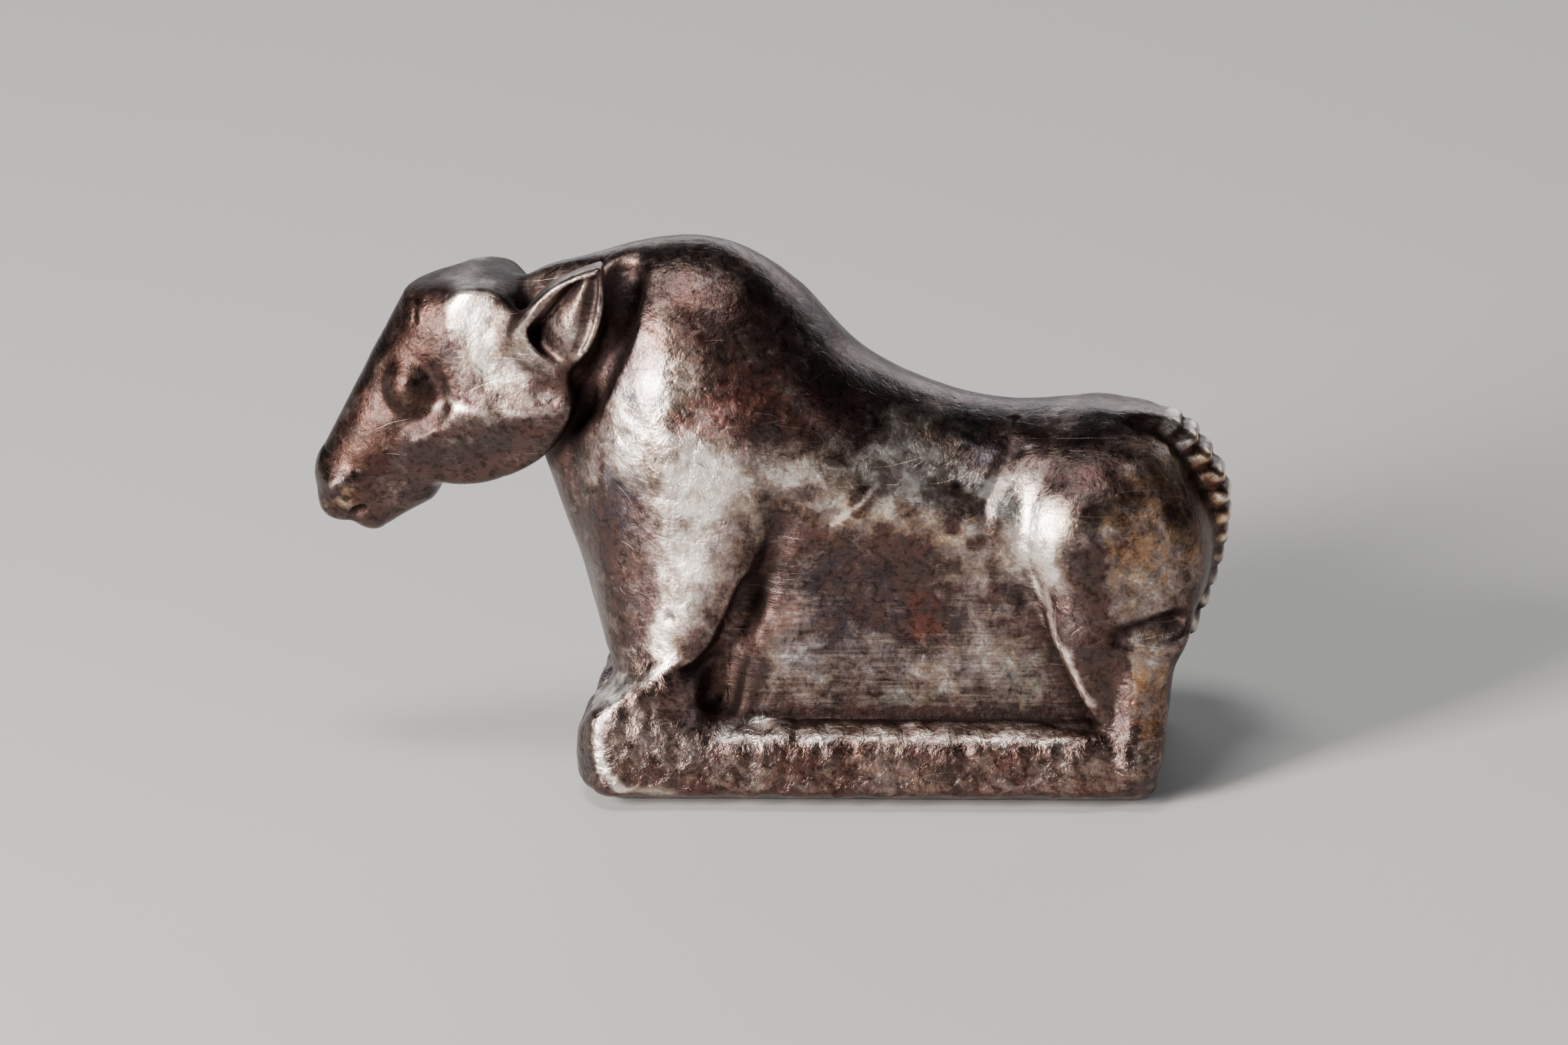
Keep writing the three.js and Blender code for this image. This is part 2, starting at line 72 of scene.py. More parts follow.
MM = 0.001

# The mesh: its cell, the cells along a coarse block, the room round the figure, and a margin to the CAD box
FINE_CELL = 0.22
COARSE_CELLS = 8
MESH_LOW = np.array([-44.0, -12.6, -0.61])
MESH_HIGH = np.array([28.2, 12.6, 43.4])
MOST_TRIANGLES = 190000
INSIDE_CAD_BOX = 0.02

# Outlines as pairs: heights over x, or places along x over a height
BACK_LINE = [(-28, 37.6), (-26, 38.6), (-23.8, 39.4), (-20.5, 40.2), (-17.5, 41.0), (-13, 41.4), (-9.2, 40.3),
             (-5.8, 37.7), (-1.6, 33.1), (2.5, 30.4), (8, 28.6), (14.2, 28.1), (16.5, 28.4), (20.6, 28.2),
             (25, 24.6)]
HALF_WIDTHS = [(-28, 3.4), (-24.5, 4.0), (-21.5, 5.2), (-18.5, 7.7), (-14, 9.9), (8, 9.7), (22, 8.8)]
SHOULDER_DROP = [(-28, 9), (-20, 13), (-12, 17), (-4, 12.5), (4, 10), (24, 10)]
MUZZLE_HALF = [(-43, 2.0), (-39.5, 3.3), (-36, 4.2), (-32.5, 5.4), (-22, 6.5)]
BREAST_LINE = [(6, -18.4), (9, -20.0), (12, -21.3), (17.5, -22.9), (24.5, -25.3), (28, -26.6), (40, -30.5)]
RUMP_LINE = [(0, 20.4), (9, 21.0), (14.5, 23.8), (18, 25.0), (21.5, 25.3), (24.5, 24.4), (30, 19)]
ARM_LINE = [(8, -16.5), (10.6, -15.1), (11.6, -12.9), (13.4, -11.3), (17, -9.3), (20.7, -7.9), (26, -6.0),
            (31, -4.5)]
THIGH_LINE = [(5, 17.2), (8, 15.6), (12, 13.8), (16, 11.7), (18.6, 9.8), (21.5, 8.6), (24.2, 9.1),
              (26.5, 10.5), (30, 13.8)]
GROOVE_LINE = [(27, -23.3), (29.7, -21.7), (32.3, -20.4), (35.9, -18.9), (39.5, -18.2)]
GROOVE_SIDE = [(27, 4.4), (29.7, 5.0), (32.3, 5.5), (35.9, 5.3), (39.5, 3.3)]
TAIL_REACH = [(-56, 11.2), (-45, 11.1), (-36, 10.5), (-20, 9.95), (-3, 10.15), (18, 10.75), (33, 10.65),
              (50, 10.7), (62, 10.2), (76, 8.9)]


def join(a, b, width):
    """The smaller of two fields, with the corner between them filled over a width."""
    h = np.maximum(width - np.abs(a - b), 0) / width
    return np.minimum(a, b) - h * h * width * 0.25


def meet(a, b, width):
    """The larger of two fields, with the edge between them rounded over a width."""
    return -join(-a, -b, width)


def cut(body, tool, width):
    """A body with a tool's form taken out of it."""
    return meet(body, -tool, width)


def smooth_step(start, stop, t):
    """From 0 to 1 as t goes from one value to another, which may be the lower one."""
    s = np.clip((t - start) / (stop - start), 0, 1)
    return s * s * (3 - 2 * s)


def through(points, t):
    """A smooth line through a few points, flat beyond its ends."""
    p = np.array(points, float)
    slope = np.empty(len(p))
    slope[1:-1] = (p[2:, 1] - p[:-2, 1]) / (p[2:, 0] - p[:-2, 0])
    slope[0] = (p[1, 1] - p[0, 1]) / (p[1, 0] - p[0, 0])
    slope[-1] = (p[-1, 1] - p[-2, 1]) / (p[-1, 0] - p[-2, 0])
    t = np.clip(t, p[0, 0], p[-1, 0])
    i = np.clip(np.searchsorted(p[:, 0], t, side="right") - 1, 0, len(p) - 2)
    span = (p[1:, 0] - p[:-1, 0])[i]
    s = (t - p[i, 0]) / span
    start = (1 + 2 * s) * (1 - s) ** 2 * p[i, 1] + s * (1 - s) ** 2 * span * slope[i]
    return start + s * s * (3 - 2 * s) * p[i + 1, 1] + s * s * (s - 1) * span * slope[i + 1]


def turned(x, z, centre_x, centre_z, degrees):
    """Offsets from a point of the side view, the first along a line that rises so much to +X."""
    angle = np.radians(degrees)
    dx, dz = x - centre_x, z - centre_z
    return np.cos(angle) * dx + np.sin(angle) * dz, -np.sin(angle) * dx + np.cos(angle) * dz


def ellipsoid(x, y, z, centre, radii, degrees=0):
    u, w = turned(x, z, centre[0], centre[2], degrees)
    v = y - centre[1]
    near = np.sqrt((u / radii[0]) ** 2 + (v / radii[1]) ** 2 + (w / radii[2]) ** 2) + 1e-9
    steep = np.sqrt((u / radii[0] ** 2) ** 2 + (v / radii[1] ** 2) ** 2 + (w / radii[2] ** 2) ** 2) + 1e-9
    return near * (near - 1) / steep


def limb(x, y, z, start, end, start_radius, end_radius, flat=1.0):
    """A round tapered limb between two points, squeezed across when flat is under 1."""
    bx, by, bz = end[0] - start[0], (end[1] - start[1]) / flat, end[2] - start[2]
    px, py, pz = x - start[0], (y - start[1]) / flat, z - start[2]
    t = np.clip((px * bx + py * by + pz * bz) / (bx * bx + by * by + bz * bz), 0, 1)
    away = np.sqrt((px - bx * t) ** 2 + (py - by * t) ** 2 + (pz - bz * t) ** 2)
    return (away - start_radius - (end_radius - start_radius) * t) * flat


def trunk(x, side, z):
    """Neck, hump, back and rump: an arch under the back line, rounded at the breast and the rump."""
    half = through(HALF_WIDTHS, x)
    drop = through(SHOULDER_DROP, x)
    u = side / half + 1e-6
    w = np.maximum(z - through(BACK_LINE, x) + drop, 0) / drop
    near = np.hypot(u, w)
    arch = near * (near - 1) / np.hypot(u / half, w / drop)
    beside_arm = smooth_step(2.4, 0, np.abs(x - through(ARM_LINE, z) - 0.9)) * smooth_step(28, 22, z)
    flank = side - WALL_HALF - 1.8 * smooth_step(15, 26, z) + 0.7 * beside_arm
    breast = (through(BREAST_LINE, z) - x) * 0.95
    rump = (x - through(RUMP_LINE, z)) * 0.92
    return meet(meet(meet(arch, flank, 2), breast, 6), rump, 6)


def arm(x, side, z):
    """Shoulder and upper leg: flat outside, with a sharp rear edge over the wall."""
    upper = limb(x, side, z, (-12.2, 2.0, 25.5), (-13.4, 3.6, 9.0), 9.4, 7.2)
    turned_face = 0.94 * (side - ARM_HALF) - 0.33 * (x + 12.5) + 0.15 * (z - 17)
    column = meet(meet(upper, side - ARM_HALF, 2.5), turned_face, 1.5)
    column = meet(column, (through(BREAST_LINE, z) - x) * 0.95, 3)
    return meet(column, (x - through(ARM_LINE, z)) * 0.85, 1.2)


def chest_plane(x, side, z):
    """The plane that falls away from the front edge of the arm to the middle of the breast."""
    return 0.6 * (-x - 15.2) + 0.8 * (side - ARM_HALF) - 6 * smooth_step(24, 32, z)


def knee(x, side, z, set_back):
    """The folded knee in front, whose side fades back into the wall."""
    slope = -0.56 * (x + 18.2 - set_back) + 0.83 * (z - 9.3)
    beyond = (x + 14.5 + np.hypot(x + 14.5, 2)) / 2
    lean = 0.012 * np.maximum(z - 2, 0) ** 2 + beyond * (0.06 + 0.6 * smooth_step(4.5, 8, z))
    corner = 0.8 * (-x - 20.7 + set_back) + 0.6 * (side - HALF_WIDTH + 0.4)
    form = meet(-x - 22.5 + set_back, slope, 2.2)
    form = meet(form, x + 8, 3)
    form = meet(form, (side - HALF_WIDTH + lean) / 1.15, 0.9)
    form = meet(form, z - 10.9, 2)
    form = meet(form, 2.6 - side, 2.5)
    return meet(form, corner, 0.8)


def thigh(x, side, z):
    """Haunch and the flat of the leg under it, up to the sharp front edge of the thigh."""
    oval = (np.hypot((x - 14.5) / 12.5, (z - 17.2) / 9.4) - 1) * 9.4
    flat = meet(x - 18.6 - 2.4 * smooth_step(8.5, 5.5, z), z - 20, 1)
    outline = meet(join(oval, flat, 1.5), x - 25, 6)
    hollow = 0.22 * np.maximum(x - 14.5, 0) * smooth_step(14, 10, z)
    half = THIGH_HALF + (HALF_WIDTH - THIGH_HALF) * smooth_step(9, 4, z) - hollow
    leg = meet(outline, side - half, 1.4 + 5.1 * smooth_step(11, 20, z))
    leg = meet(leg, (side - THIGH_HALF + 0.26 * (x - 17.2) * smooth_step(11, 15, z)) * 0.95, 0.8)
    edge = through(THIGH_LINE, z)
    behind = edge + 1.4 + 3.6 * smooth_step(13, 19, z) - x
    bulge = 0.9 * (side - THIGH_HALF) + 0.34 * behind + 0.2 * (z - 21)
    return meet(meet(leg, bulge, 1), (edge - x) * 0.85, 1.8 + 4.4 * smooth_step(11, 18, z))


def hock(x, side, z):
    """The lower hind leg, a round post under the fold of the thigh, with its hoof."""
    post = limb(x, side, z, (19.9, 7.6, 12.4), (19.6, 9.4, 4.0), 2.6, 1.9)
    return join(post, ellipsoid(x, side, z, (19.4, 10.0, 3.4), (1.6, 1.7, 1.6)), 0.6)


def bar(x, side, z):
    """The bar, slimmer at its ends, where the knees and feet stand out to its full width."""
    ends = smooth_step(-10, -13, x) + smooth_step(15.5, 18, x)
    top = z - BAR_TOP + 0.12 * (side - WALL_HALF)
    length = meet(side - HALF_WIDTH + 0.4 * ends, top, 1.8)
    return meet(meet(length, x - BAR_REAR, 2.4), BAR_FRONT - x, 2)


def head(x, side, z):
    """A flattened wedge with flat temples, a jaw that falls away, and a poll that is cut off flat."""
    skull = limb(x, side, z, (-30.2, 0, 33.6), (-38.9, 0, 23.0), 6.1, 3.5, 0.8)
    lip = limb(x, side, z, (-40.3, 1.2, 21.2), (-39.6, 1.6, 22.2), 1.6, 2.0)
    chin = limb(x, side, z, (-38.1, 0, 19.9), (-35.0, 0, 22.6), 1.4, 2.2)

    temple = side - 4.7 - 0.17 * (x + 32) + 0.15 * (z - 34)
    ridge = 29.0 + 0.85 * np.minimum(x + 32.5, 0)
    jaw = (side - through(MUZZLE_HALF, x) - 0.5 * (z - ridge)) / 1.12
    under = (20.9 + 0.255 * (x + 34.8) - z) / 1.03
    behind = np.hypot(x + 31.5, (z - 33) * 0.95) - 9.8
    ahead = (-x - 33.5 + 0.35 * (z - 30)) / 1.06
    nape = (x + 26.9 + 0.75 * (z - 38)) / 1.25
    cheek = meet(meet(meet(temple, under, 1.6), meet(behind, ahead, 1), 1), nape, 1)

    face = side - 4.6 - 0.42 * (x + 32.3) - 0.5 * np.maximum(30 - z, 0)
    form = meet(join(join(skull, lip, 0.8), cheek, 1.5), temple, 0.8)
    form = meet(form, face * 0.9, 0.5)
    form = join(meet(form, jaw, 0.7), chin, 0.9)
    form = meet(form, z - POLL_HEIGHT + 0.03 * (x + 29.3) ** 2, 0.6)
    form = cut(form, ellipsoid(x, side, z, (-29.0, 8.6, 25.2), (6.5, 4.6, 2.6), 12), 0.8)
    form = cut(form, limb(x, side, z, (-38.5, 1.6, 21.4), (-39.9, 2.4, 18.9), 0.25, 1.0), 0.3)
    form = cut(form, ellipsoid(x, side, z, (-39.75, 3.0, 21.6), (0.3, 0.7, 0.4), 30), 0.3)
    form = cut(form, ellipsoid(x, side, z, (-34.4, 4.9, 30.4), (2.7, 1.2, 2.9)), 1.0)
    form = join(form, ellipsoid(x, side, z, (-34.3, 2.9, 30.7), (1.9, 1.7, 2.2)), 0.7)
    return cut(form, ellipsoid(x, side, z, (-33.5, 5.1, 29.7), (0.9, 0.8, 0.7)), 0.6)


def neck_groove(x, y, z):
    """The deep groove in the neck, behind the jaw on both sides and behind the left ear."""
    radius = 1.6 - 1.3 * smooth_step(31, 34, z) * (y > 0) - 0.5 * smooth_step(30, 27, z)
    return np.hypot(x - through(GROOVE_LINE, z), np.abs(y) - through(GROOVE_SIDE, z) - 0.3) - radius


def ear(x, y, z):
    """The left ear: a pointed leaf that leans back, and the cup in it.

    The cup's floor slopes from a rib down into a groove along its front, with a shallow valley
    behind the rib. u runs to the tip, w to the front rim, and v out of the head.
    """
    u, w = turned(x, z, EAR_X, EAR_Z, EAR_LEAN)
    v = -y - EAR_SIDE
    half = 2.7 - 2.7 * (np.maximum(u - 2, 0) / 5.6) ** 2
    outline = meet(np.abs(w) - half, -u - 1.6, 2.4) * 0.8
    front = 1.2 - 1.1 * smooth_step(2.6, -1.6, u)
    leaf = meet(meet(outline, v - front, 0.6), -v - 1.2, 0.6)

    rib = -1.94 + 0.353 * u
    groove = 1.3 - 0.1 * u
    across = np.maximum(groove - rib, 0.3)
    slope = np.clip((w - rib) / across, 0, 1) ** 1.9 * smooth_step(0.9, 0, w - groove)
    valley = np.sin(np.pi * np.clip((rib - w) / 1.5, 0, 1)) * smooth_step(0.2, 1.4, u)
    depth = 0.1 + (0.35 + 0.45 * across) * slope * smooth_step(-1.2, 0.1, u) + 0.42 * valley
    margin = meet(np.abs(w + 0.12) - half, -u - 1.1, 2.4) * 0.8 + 0.36
    cup = meet(margin, (front - depth - v) * 0.7, 0.3)
    return leaf, cup


def round_tail(x, side, z):
    """The angle and the reach from the tail's centre, and the ripple of its scallops there."""
    around = np.degrees(np.arctan2(z - TAIL_Z, x - TAIL_X))
    reach = np.hypot(z - TAIL_Z, x - TAIL_X)
    ripple = np.abs(np.sin(np.pi * (around + 3 * (reach - 11)) / SCALLOP_EVERY + 0.15 * side))
    return around, reach, ripple


def tail(x, side, z):
    """The tail lies down the rump as a raised strip with scalloped edges."""
    around, reach, ripple = round_tail(x, side, z)
    wave = ripple ** 0.8 * smooth_step(60, 45, around)
    back = (reach - through(TAIL_REACH, around) - 0.45 * wave) * 0.85
    strip = meet(meet(back, side - TAIL_HALF - 0.2 * wave, 1.3), TAIL_END - z, 0.6)
    return meet(meet(strip, 7 - reach, 0.5), 17 - x, 0.5)


def bull(x, y, z):
    """The whole casting: body, limbs and bar, then the grooves, the head, the left ear and the tail."""
    side = np.abs(y)
    form = join(trunk(x, side, z), arm(x, side, z), 1.2)
    form = meet(form, chest_plane(x, side, z), 1.8)
    form = join(form, knee(x, side, z, np.where(y < 0, 0, RIGHT_KNEE_BACK)), 1.6)
    blend = 0.4 + 3 * smooth_step(23, 28, z) + 1.8 * smooth_step(18, 22, x) * smooth_step(13, 16, z)
    form = join(form, thigh(x, side, z), blend)
    form = join(form, bar(x, side, z), 0.2)
    form = cut(form, limb(x, side, z, (-9.3, 8.4, 17.0), (-11.6, 8.7, 8.2), 0.7, 1.3), 1.4)
    form = cut(form, limb(x, side, z, (17.4, 11.0, 13.4), (22.6, 9.6, 14.6), 0.3, 0.6), 1)
    form = join(form, hock(x, side, z), 0.5)
    form = cut(form, neck_groove(x, y, z), 0.8)
    form = join(form, head(x, side, z), 0.8)
    leaf, cup = ear(x, y, z)
    form = cut(join(form, leaf, 1.5), cup, 0.25)
    form = join(form, tail(x, side, z), 1)
    beyond = np.hypot(np.maximum(side - FLAT_HALF_WIDTH, 0), np.maximum(np.abs(x) - FLAT_HALF_LENGTH, 0))
    return meet(form, LIFT_SLOPE * beyond - z, 0.8)


def field_at(points):
    return bull(points[:, 0], points[:, 1], points[:, 2])


def slope_at(points, step=0.03):
    """The field's slope, which points out of the metal."""
    pairs = [field_at(points + step * axis) - field_at(points - step * axis) for axis in np.eye(3)]
    return np.stack(pairs, axis=1) / (2 * step)


def surface_mesh():
    """Surface nets: a point in each fine cell that the surface crosses, and a quad for each edge.

    The field is worked out coarsely first, and finely only in the blocks near the surface.
    """
    coarse = FINE_CELL * COARSE_CELLS
    blocks = np.ceil((MESH_HIGH - MESH_LOW) / coarse).astype(int)
    axes = [MESH_LOW[i] + coarse * (np.arange(blocks[i]) + 0.5) for i in range(3)]
    rough = bull(*np.meshgrid(*axes, indexing="ij"))
    near = np.abs(rough) < 1.6 * coarse

    value = rough
    close = near
    for axis in range(3):
        value = np.repeat(value, COARSE_CELLS, axis=axis)
        close = np.repeat(close, COARSE_CELLS, axis=axis)
    where = np.nonzero(close)
    nodes = MESH_LOW + FINE_CELL * np.stack(where, axis=1)
    value[where] = field_at(nodes)
    inside = value < 0

    corners = list(itertools.product((0, 1), repeat=3))
    size = np.array(value.shape) - 1
    filled = sum(inside[a:a + size[0], b:b + size[1], c:c + size[2]].astype(np.int8) for a, b, c in corners)
    cells = np.argwhere((filled > 0) & (filled < 8))
    number = np.full(size, -1, np.int32)
    number[tuple(cells.T)] = np.arange(len(cells))

    total = np.zeros((len(cells), 3))
    count = np.zeros(len(cells))
    for first, second in itertools.combinations(corners, 2):
        if sum(abs(a - b) for a, b in zip(first, second)) != 1:
            continue
        a = value[tuple((cells + first).T)]
        b = value[tuple((cells + second).T)]
        crossed = (a < 0) != (b < 0)
        t = np.where(crossed, a / np.where(crossed, a - b, 1), 0)[:, None]
        total += np.where(crossed[:, None], first + t * (np.array(second) - first), 0)
        count += crossed
    points = MESH_LOW + FINE_CELL * (cells + total / count[:, None])

    quads = []
    for axis in range(3):
        other, third = (axis + 1) % 3, (axis + 2) % 3
        ahead = [slice(None)] * 3
        behind = [slice(None)] * 3
        ahead[axis], behind[axis] = slice(1, None), slice(None, -1)
        changed = inside[tuple(ahead)] != inside[tuple(behind)]
        edges = np.argwhere(changed)
        leaving = inside[tuple(edges.T)]
        corner = [edges.copy() for _ in range(4)]
        for k, (back_one, back_two) in enumerate([(0, 0), (1, 0), (1, 1), (0, 1)]):
            corner[k][:, other] -= back_one
            corner[k][:, third] -= back_two
        quad = np.stack([number[tuple(c.T)] for c in corner], axis=1)
        quad[~leaving] = quad[~leaving][:, ::-1]
        quads.append(quad)
    return points, np.concatenate(quads)


def settled(points):
    """The points moved along the field's slope onto the true surface."""
    for _ in range(2):
        slope = slope_at(points)
        move = field_at(points) / (np.sum(slope * slope, axis=1) + 1e-6)
        points = points - slope * np.clip(move, -FINE_CELL, FINE_CELL)[:, None]
    return points


def noise(points, size, seed):
    """Smooth noise from -1 to 1, with bumps about so many millimetres across, in all or along X, Y and Z."""
    cells = 32
    table = np.random.default_rng(seed).uniform(-1, 1, (cells, cells, cells))
    place = points / np.array(size) + 7.3 * seed
    base = np.floor(place).astype(int)
    part = place - base
    part = part * part * (3 - 2 * part)
    total = np.zeros(len(points))
    for corner in itertools.product((0, 1), repeat=3):
        i = (base + corner) % cells
        weight = np.prod(np.where(corner, part, 1 - part), axis=1)
        total += weight * table[i[:, 0], i[:, 1], i[:, 2]]
    return total


def near_line(points, start, end, width):
    """One on a short line in the side view of the left flank, falling to nothing at its width."""
    start, end = np.array(start, float), np.array(end, float)
    flat = points[:, [0, 2]]
    along = np.clip((flat - start) @ (end - start) / np.sum((end - start) ** 2), 0, 1)
    away = np.linalg.norm(flat - start - along[:, None] * (end - start), axis=1)
    return np.maximum(1 - away / width, 0) * (points[:, 1] < -2)


def near_lines(points, corners, width):
    """The nearest of the lines through some corners."""
    return np.max([near_line(points, *pair, width) for pair in zip(corners, corners[1:])], axis=0)


def scratch(points, start, end, width):
    """A line that thins out towards both ends."""
    start, end = np.array(start, float), np.array(end, float)
    along = (points[:, [0, 2]] - start) @ (end - start) / np.sum((end - start) ** 2)
    return near_line(points, start, end, width) * np.sqrt(np.clip(4 * along * (1 - along), 0, 1))


def patch(points, centre_x, centre_z, radius_x, radius_z, degrees=0):
    """One in the middle of a soft oval of the side view, and nothing outside it."""
    u, w = turned(points[:, 0], points[:, 2], centre_x, centre_z, degrees)
    return smooth_step(1.35, 0.35, np.hypot(u / radius_x, w / radius_z))


def layers(points, rows):
    """The sum of some layers of noise, each with a height, the size of its bumps, and a seed."""
    return sum(height * noise(points, size, seed) for height, size, seed in rows)


def wall_mask(points, fading, gone):
    """One on the plain wall between the legs, which fades out between two heights."""
    x, y, z = points.T
    return (np.abs(y) < 9.8) * smooth_step(6.5, 8, z) * smooth_step(fading, gone, z) * (x > -11) * (x < 15.5)


def rim_mask(points, outside, low, high, front):
    """One on the raised rim of the bar, between two heights and behind its front end."""
    x, y, z = points.T
    lengthways = (x > front) * (x < 16)
    return (np.abs(y) > outside) * smooth_step(low, 5.8, z) * smooth_step(high, 6.6, z) * lengthways


# Unevenness of the whole casting, of its hammered places and of the rim: heights, sizes of bumps, and seeds
UNEVEN = [(0.075, 4.2, 1), (0.035, 1.9, 2), (0.014, 0.8, 3)]
HAMMERED = [(0.09, (0.9, 1.2, 1.6), 4), (0.04, (0.6, 0.7, 0.9), 5)]
UNEVEN_RIM = [(0.09, 2.4, 13), (0.05, 0.9, 20)]
FILE_MARKS = [(0.03, (3.5, 1.0, 0.5), 6)]

# Scratches on the left side: two ends in the side view, half a width, and a depth, negative for a raised burr
SCRATCHES = [
    ((-14.9, 38.2), (-9.8, 35.0), 0.3, 0.05),
    ((-2.9, 22.0), (0.4, 25.2), 0.3, 0.07),
    ((-2.6, 22.2), (0.6, 25.2), 0.35, -0.08),
    ((9.8, 27.2), (12.2, 30.0), 0.5, 0.10),
] + [((-13.4, 21.0 + 0.5 * step), (-10.6, 21.9 + 0.45 * step), 0.3, 0.05) for step in range(4)]

# The lines in the side view that set off the front of the haunch and the fold over the hock
HAUNCH_EDGE = [(10.4, 26.6), (8.5, 23.4), (8.4, 21.0), (9.6, 18.4), (11.6, 15.8)]
HOCK_FOLD = [(18.0, 13.9), (20.4, 14.6), (22.7, 14.7)]

# Dents in the left side: the middle of each along X and Z, its radii, and its depth, negative for a boss
DENTS = {
    "arm": (-15.0, 14.8, 0.45, 0.5, 0.10),
    "upper hollow of the cheek": (-23.6, 31.4, 1.3, 0.9, 0.12),
    "lower hollow of the cheek": (-25.0, 28.6, 1.6, 0.8, 0.10),
    "nick in the rim": (-5.7, 6.0, 0.28, 0.45, 0.22),
    "boss on the rim": (-7.1, 6.3, 0.9, 0.6, -0.10),
    "chip on the brow": (-33.9, 36.5, 0.3, 0.7, 0.08),
}


def relief(points):
    """How far the surface stands out from its plain form: hand work, casting pits, dents and wear."""
    x, y, z = points.T
    hammered = np.maximum(smooth_step(8, 5.5, z), smooth_step(-13, -16, x) * smooth_step(12, 10, z))
    height = layers(points, UNEVEN) + hammered * layers(points, HAMMERED)
    height -= 0.15 * hammered * np.maximum(noise(points, 1.1, 8) - 0.5, 0)
    height -= 0.10 * np.maximum(noise(points, 0.8, 9) - 0.6, 0)

    wall = wall_mask(points, 23, 18)
    height += wall * layers(points, FILE_MARKS)
    height -= 0.15 * wall * patch(points, 1, 13, 7, 4)
    height += 0.05 * patch(points, 1, 23.5, 10, 5) * noise(points, 1.6, 7)
    wrinkled = patch(points, -15.5, 29, 4.5, 6) + 0.6 * patch(points, 11, 21, 2.5, 5)
    height += 0.05 * wrinkled * noise(points, (1.2, 1.0, 0.8), 10)
    height += rim_mask(points, 9.0, 5.0, 7.2, -11.5) * layers(points, UNEVEN_RIM)

    for start, end, width, depth in SCRATCHES:
        height -= depth * scratch(points, start, end, width)
    height -= 0.22 * near_lines(points, HAUNCH_EDGE, 0.9) + 0.2 * near_lines(points, HOCK_FOLD, 0.8)
    for centre_x, centre_z, radius_x, radius_z, depth in DENTS.values():
        height -= depth * patch(points, centre_x, centre_z, radius_x, radius_z) * (y < 0)
    return height * smooth_step(0.3, 1.2, z)


def thinned(mesh_object, most):
    """The object's mesh, collapsed by Blender to at most so many triangles."""
    step = mesh_object.modifiers.new("Thin", "DECIMATE")
    step.ratio = most / (2 * len(mesh_object.data.polygons))
    step.use_collapse_triangulate = True
    evaluated = mesh_object.evaluated_get(bpy.context.evaluated_depsgraph_get())
    mesh = bpy.data.meshes.new_from_object(evaluated)
    mesh_object.modifiers.clear()
    mesh_object.data = mesh
    return mesh


def make_bull():
    points, quads = surface_mesh()
    points = settled(points)
    slope = slope_at(points)
    normals = slope / np.linalg.norm(slope, axis=1, keepdims=True)
    points = points + normals * relief(points)[:, None]
    inner_low = np.array(CAD_BOX[0]) / MM + INSIDE_CAD_BOX
    inner_high = np.array(CAD_BOX[1]) / MM - INSIDE_CAD_BOX
    inner_low[2] = 0
    points = np.clip(points, inner_low, inner_high)

    mesh = bpy.data.meshes.new("silver_bull")
    mesh.from_pydata((points * MM).tolist(), [], quads.tolist())
    piece = bpy.data.objects.new("silver_bull", mesh)
    bpy.context.collection.objects.link(piece)
    mesh = thinned(piece, MOST_TRIANGLES)
    mesh.name = "silver_bull"
    mesh.polygons.foreach_set("use_smooth", [True] * len(mesh.polygons))
    add_masks(mesh)
    mesh.materials.clear()
    mesh.materials.append(silver_material())
    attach(piece, "root")
    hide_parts("bull_figurine")
    return piece


